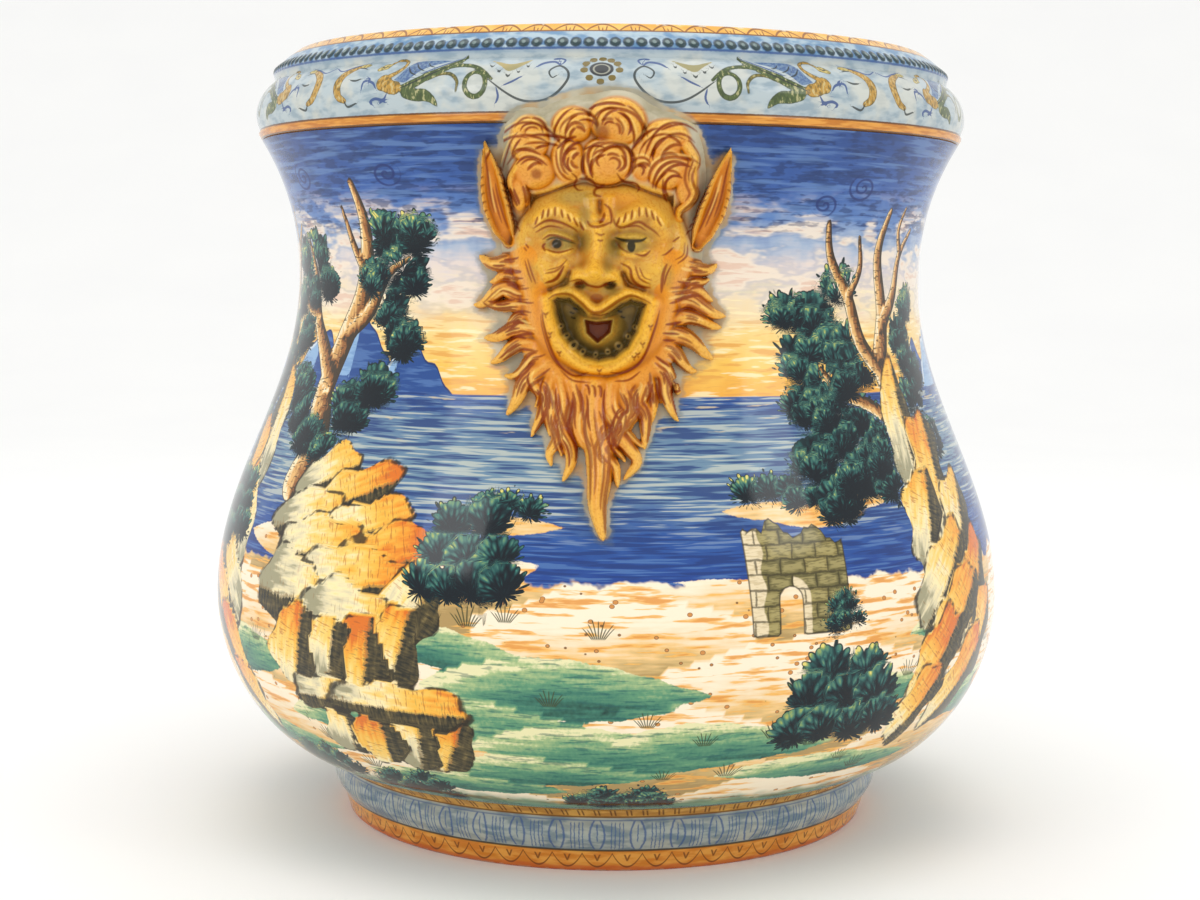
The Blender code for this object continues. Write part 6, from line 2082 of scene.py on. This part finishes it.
class JardiniereColours(bpy.types.PropertyGroup):
    bare_glaze: colour("Bare Glaze", "Unpainted tin glaze round the masks", 194, 186, 160)
    inner_glaze: colour("Inner Glaze", "Tin glaze inside the pot", 236, 230, 212)
    clay: colour("Clay", "Fired clay where the glaze stops", 196, 138, 98)
    collar_ground: colour("Collar Ground", "Blue-white ground of the collar", 180, 192, 195)
    orange_band: colour("Orange Band", "Bands at the neck and at the base", 226, 158, 68)
    lip_yellow: colour("Lip Yellow", "Painted ground of the lip", 246, 192, 94)
    mask_straw: colour("Mask Straw", "Thin yellow of the faces", 216, 164, 58)
    mask_ochre: colour("Mask Ochre", "Ochre of the hair, beards and whiskers", 228, 142, 16)


class Look:
    """The sizes and colours in one place, with plain tuples for the shaders."""

    def __init__(self, scene):
        for group in (scene.jardiniere_sizes, scene.jardiniere_colours):
            for name in group.__annotations__:
                value = getattr(group, name)
                setattr(self, name, tuple(value) if hasattr(value, "__len__") else value)


class POTTERY_OT_body(bpy.types.Operator):
    """Turn the body, and paint its landscape"""

    bl_idname = "pottery.body"
    bl_label = "Body"
    bl_options = {"REGISTER", "UNDO"}

    def execute(self, context):
        look = Look(context.scene)
        piece = turn_profile("pot_body", body_profile(), BODY_SIDES)
        paint_wall(piece.data)

        def choice(radius, z):
            outer = (radius > body_radius(z) - 2.0) & (z < NECK_Z + JOINT_EDGE)
            tenon = (z > NECK_Z + JOINT_EDGE) & (radius > NECK_R - WALL + 0.5)
            return np.where(tenon | (z < SEAT_Z + JOINT_EDGE), 2, np.where(outer, 0, 1))

        finish_by_place(piece, [landscape_glaze(look), tin_glaze(look), bare_clay(look)], choice)
        stands_for(piece, "landscape", "body_shell")
        return {"FINISHED"}


class POTTERY_OT_collar(bpy.types.Operator):
    """Turn the collar with its beads and lip, and paint its grotesques"""

    bl_idname = "pottery.collar"
    bl_label = "Collar"
    bl_options = {"REGISTER", "UNDO"}

    def execute(self, context):
        look = Look(context.scene)
        piece = turn_profile("pot_collar", collar_profile(), COLLAR_SIDES)
        paint_collar(piece.data)
        raise_beads(piece.data, look.beads, look.bead_rise / MM)

        def choice(radius, z):
            joint = (z < NECK_Z + SLIP_GAP + TENON_RISE + JOINT_EDGE) & (radius < NECK_R - 1.0)
            inner = radius < np.where(z < BEAD_Z, collar_radius(z) - 3.5, LIP_R - 4.0)
            return np.where(joint, 2, np.where(inner, 1, 0))

        finish_by_place(piece, [collar_glaze(look), tin_glaze(look), bare_clay(look)], choice)
        stands_for(piece, "collar_white", "rim_collar")
        return {"FINISHED"}


class POTTERY_OT_foot(bpy.types.Operator):
    """Turn the foot, and paint its bands"""

    bl_idname = "pottery.foot"
    bl_label = "Foot"
    bl_options = {"REGISTER", "UNDO"}

    def execute(self, context):
        look = Look(context.scene)
        piece = turn_profile("pot_foot", foot_profile(), FOOT_SIDES)

        def choice(radius, z):
            inner, joint = radius < FOOT_BASE_R - 4, z > SEAT_Z - SLIP_GAP - JOINT_EDGE
            return np.where((z < JOINT_EDGE) | inner | joint, 1, 0)

        finish_by_place(piece, [foot_glaze(look), bare_clay(look)], choice)
        stands_for(piece, "foot_ochre", "foot_ring")
        return {"FINISHED"}


class POTTERY_OT_masks(bpy.types.Operator):
    """Model the satyr masks in their parts, one at the front and one at the back"""

    bl_idname = "pottery.masks"
    bl_label = "Masks"
    bl_options = {"REGISTER", "UNDO"}

    def execute(self, context):
        look = Look(context.scene)
        relief = Relief(look)
        glaze = mask_glaze(look)
        for place, turned in (("front", False), ("back", True)):
            for part in MASK_PARTS:
                piece = relief.build(f"satyr_{place}_{part}", part, turned)
                piece.data.materials.append(glaze)
                stands_for(piece, "mask_ochre", f"mask_{place}_{part}")
        return {"FINISHED"}


class POTTERY_OT_stage(bpy.types.Operator):
    """Set the pale floor, the soft lights and the camera"""

    bl_idname = "pottery.stage"
    bl_label = "Stage"
    bl_options = {"REGISTER", "UNDO"}

    def execute(self, context):
        scene = context.scene
        add_floor()
        add_lights()
        add_camera(scene)
        scene.view_settings.view_transform = "Standard"
        scene.world = bpy.data.worlds.new("studio")
        scene.world.use_nodes = True
        ground = scene.world.node_tree.nodes["Background"]
        ground.inputs["Color"].default_value = (1.0, 1.0, 1.0, 1.0)
        ground.inputs["Strength"].default_value = 0.97
        return {"FINISHED"}


def add_floor():
    """A pale sheet that lies on the ground and rises behind the pot in a quarter turn."""
    flat_end, bend, bend_length = 2.0, 2.2, 3.46
    deselect()
    bpy.ops.mesh.primitive_grid_add(x_subdivisions=8, y_subdivisions=64, size=12, location=(0, 0, 0))
    floor = bpy.context.object
    floor.name = floor.data.name = "studio_floor"
    for vertex in floor.data.vertices:
        past = max(vertex.co.y - flat_end, 0.0)
        vertex.co.z = bend * (1 - math.cos(min(past / bend, math.pi / 2))) + max(past - bend_length, 0)
    bpy.ops.object.shade_smooth()
    p = Paint("studio_paper")
    white = p.mix(p.noise(180.0, 2), rgb(252, 252, 250), rgb(248, 248, 247))
    floor.data.materials.append(p.finish(white, 0.9))


def add_lights():
    """Wide soft lights at both sides, in front and overhead: place in metres, size and watts."""
    aim = Vector((0, 0, 0.2))
    for name, place, size, watts in (
        ("left_light", (-1.5, -1.5, 1.1), 0.7, 5.0),
        ("right_light", (1.7, -1.1, 1.2), 0.6, 3.4),
        ("top_light", (0.0, -0.1, 2.0), 1.4, 8.0),
    ):
        deselect()
        bpy.ops.object.light_add(type="AREA", location=place)
        light = bpy.context.object
        light.name = light.data.name = name
        light.data.shape, light.data.size, light.data.energy = "SQUARE", size, watts
        light.rotation_euler = (aim - light.location).to_track_quat("-Z", "Y").to_euler()


def add_camera(scene):
    """The photograph's point of view, a little to the right of the mask."""
    dip, roll, turn = 0.0923, 0.0086, math.radians(1.45)
    deselect()
    bpy.ops.object.camera_add(location=(-0.0036, -0.99966, 0.26939))
    camera = bpy.context.object
    camera.name = camera.data.name = "camera"
    camera.data.lens, camera.data.sensor_width = 60.0, 36.0
    around = Quaternion((0, 0, 1), turn)
    tilt = Euler((math.radians(90) - dip, 0, 0)).to_quaternion() @ Quaternion((0, 0, 1), roll)
    camera.rotation_mode = "QUATERNION"
    camera.rotation_quaternion = around @ tilt
    camera.location = around @ camera.location
    scene.camera = camera


class POTTERY_PT_jardiniere(bpy.types.Panel):
    """Sizes, colours and the steps that make the jardiniere"""

    bl_label = "Jardiniere"
    bl_idname = "POTTERY_PT_jardiniere"
    bl_space_type = "VIEW_3D"
    bl_region_type = "UI"
    bl_category = "Pottery"

    def draw(self, context):
        layout = self.layout
        for group in (context.scene.jardiniere_sizes, context.scene.jardiniere_colours):
            box = layout.box()
            for name in group.__annotations__:
                box.prop(group, name)
        for step in STEPS:
            layout.operator(step.bl_idname)


STEPS = (POTTERY_OT_body, POTTERY_OT_collar, POTTERY_OT_foot, POTTERY_OT_masks, POTTERY_OT_stage)
CLASSES = (JardiniereSizes, JardiniereColours) + STEPS + (POTTERY_PT_jardiniere,)


def register():
    for each in CLASSES:
        bpy.utils.register_class(each)
    bpy.types.Scene.jardiniere_sizes = bpy.props.PointerProperty(type=JardiniereSizes)
    bpy.types.Scene.jardiniere_colours = bpy.props.PointerProperty(type=JardiniereColours)


def unregister():
    del bpy.types.Scene.jardiniere_colours
    del bpy.types.Scene.jardiniere_sizes
    for each in reversed(CLASSES):
        bpy.utils.unregister_class(each)


def main():
    register()
    bpy.ops.pottery.body()
    bpy.ops.pottery.collar()
    bpy.ops.pottery.foot()
    bpy.ops.pottery.masks()
    bpy.ops.pottery.stage()
    deselect()


if __name__ == "__main__":
    main()
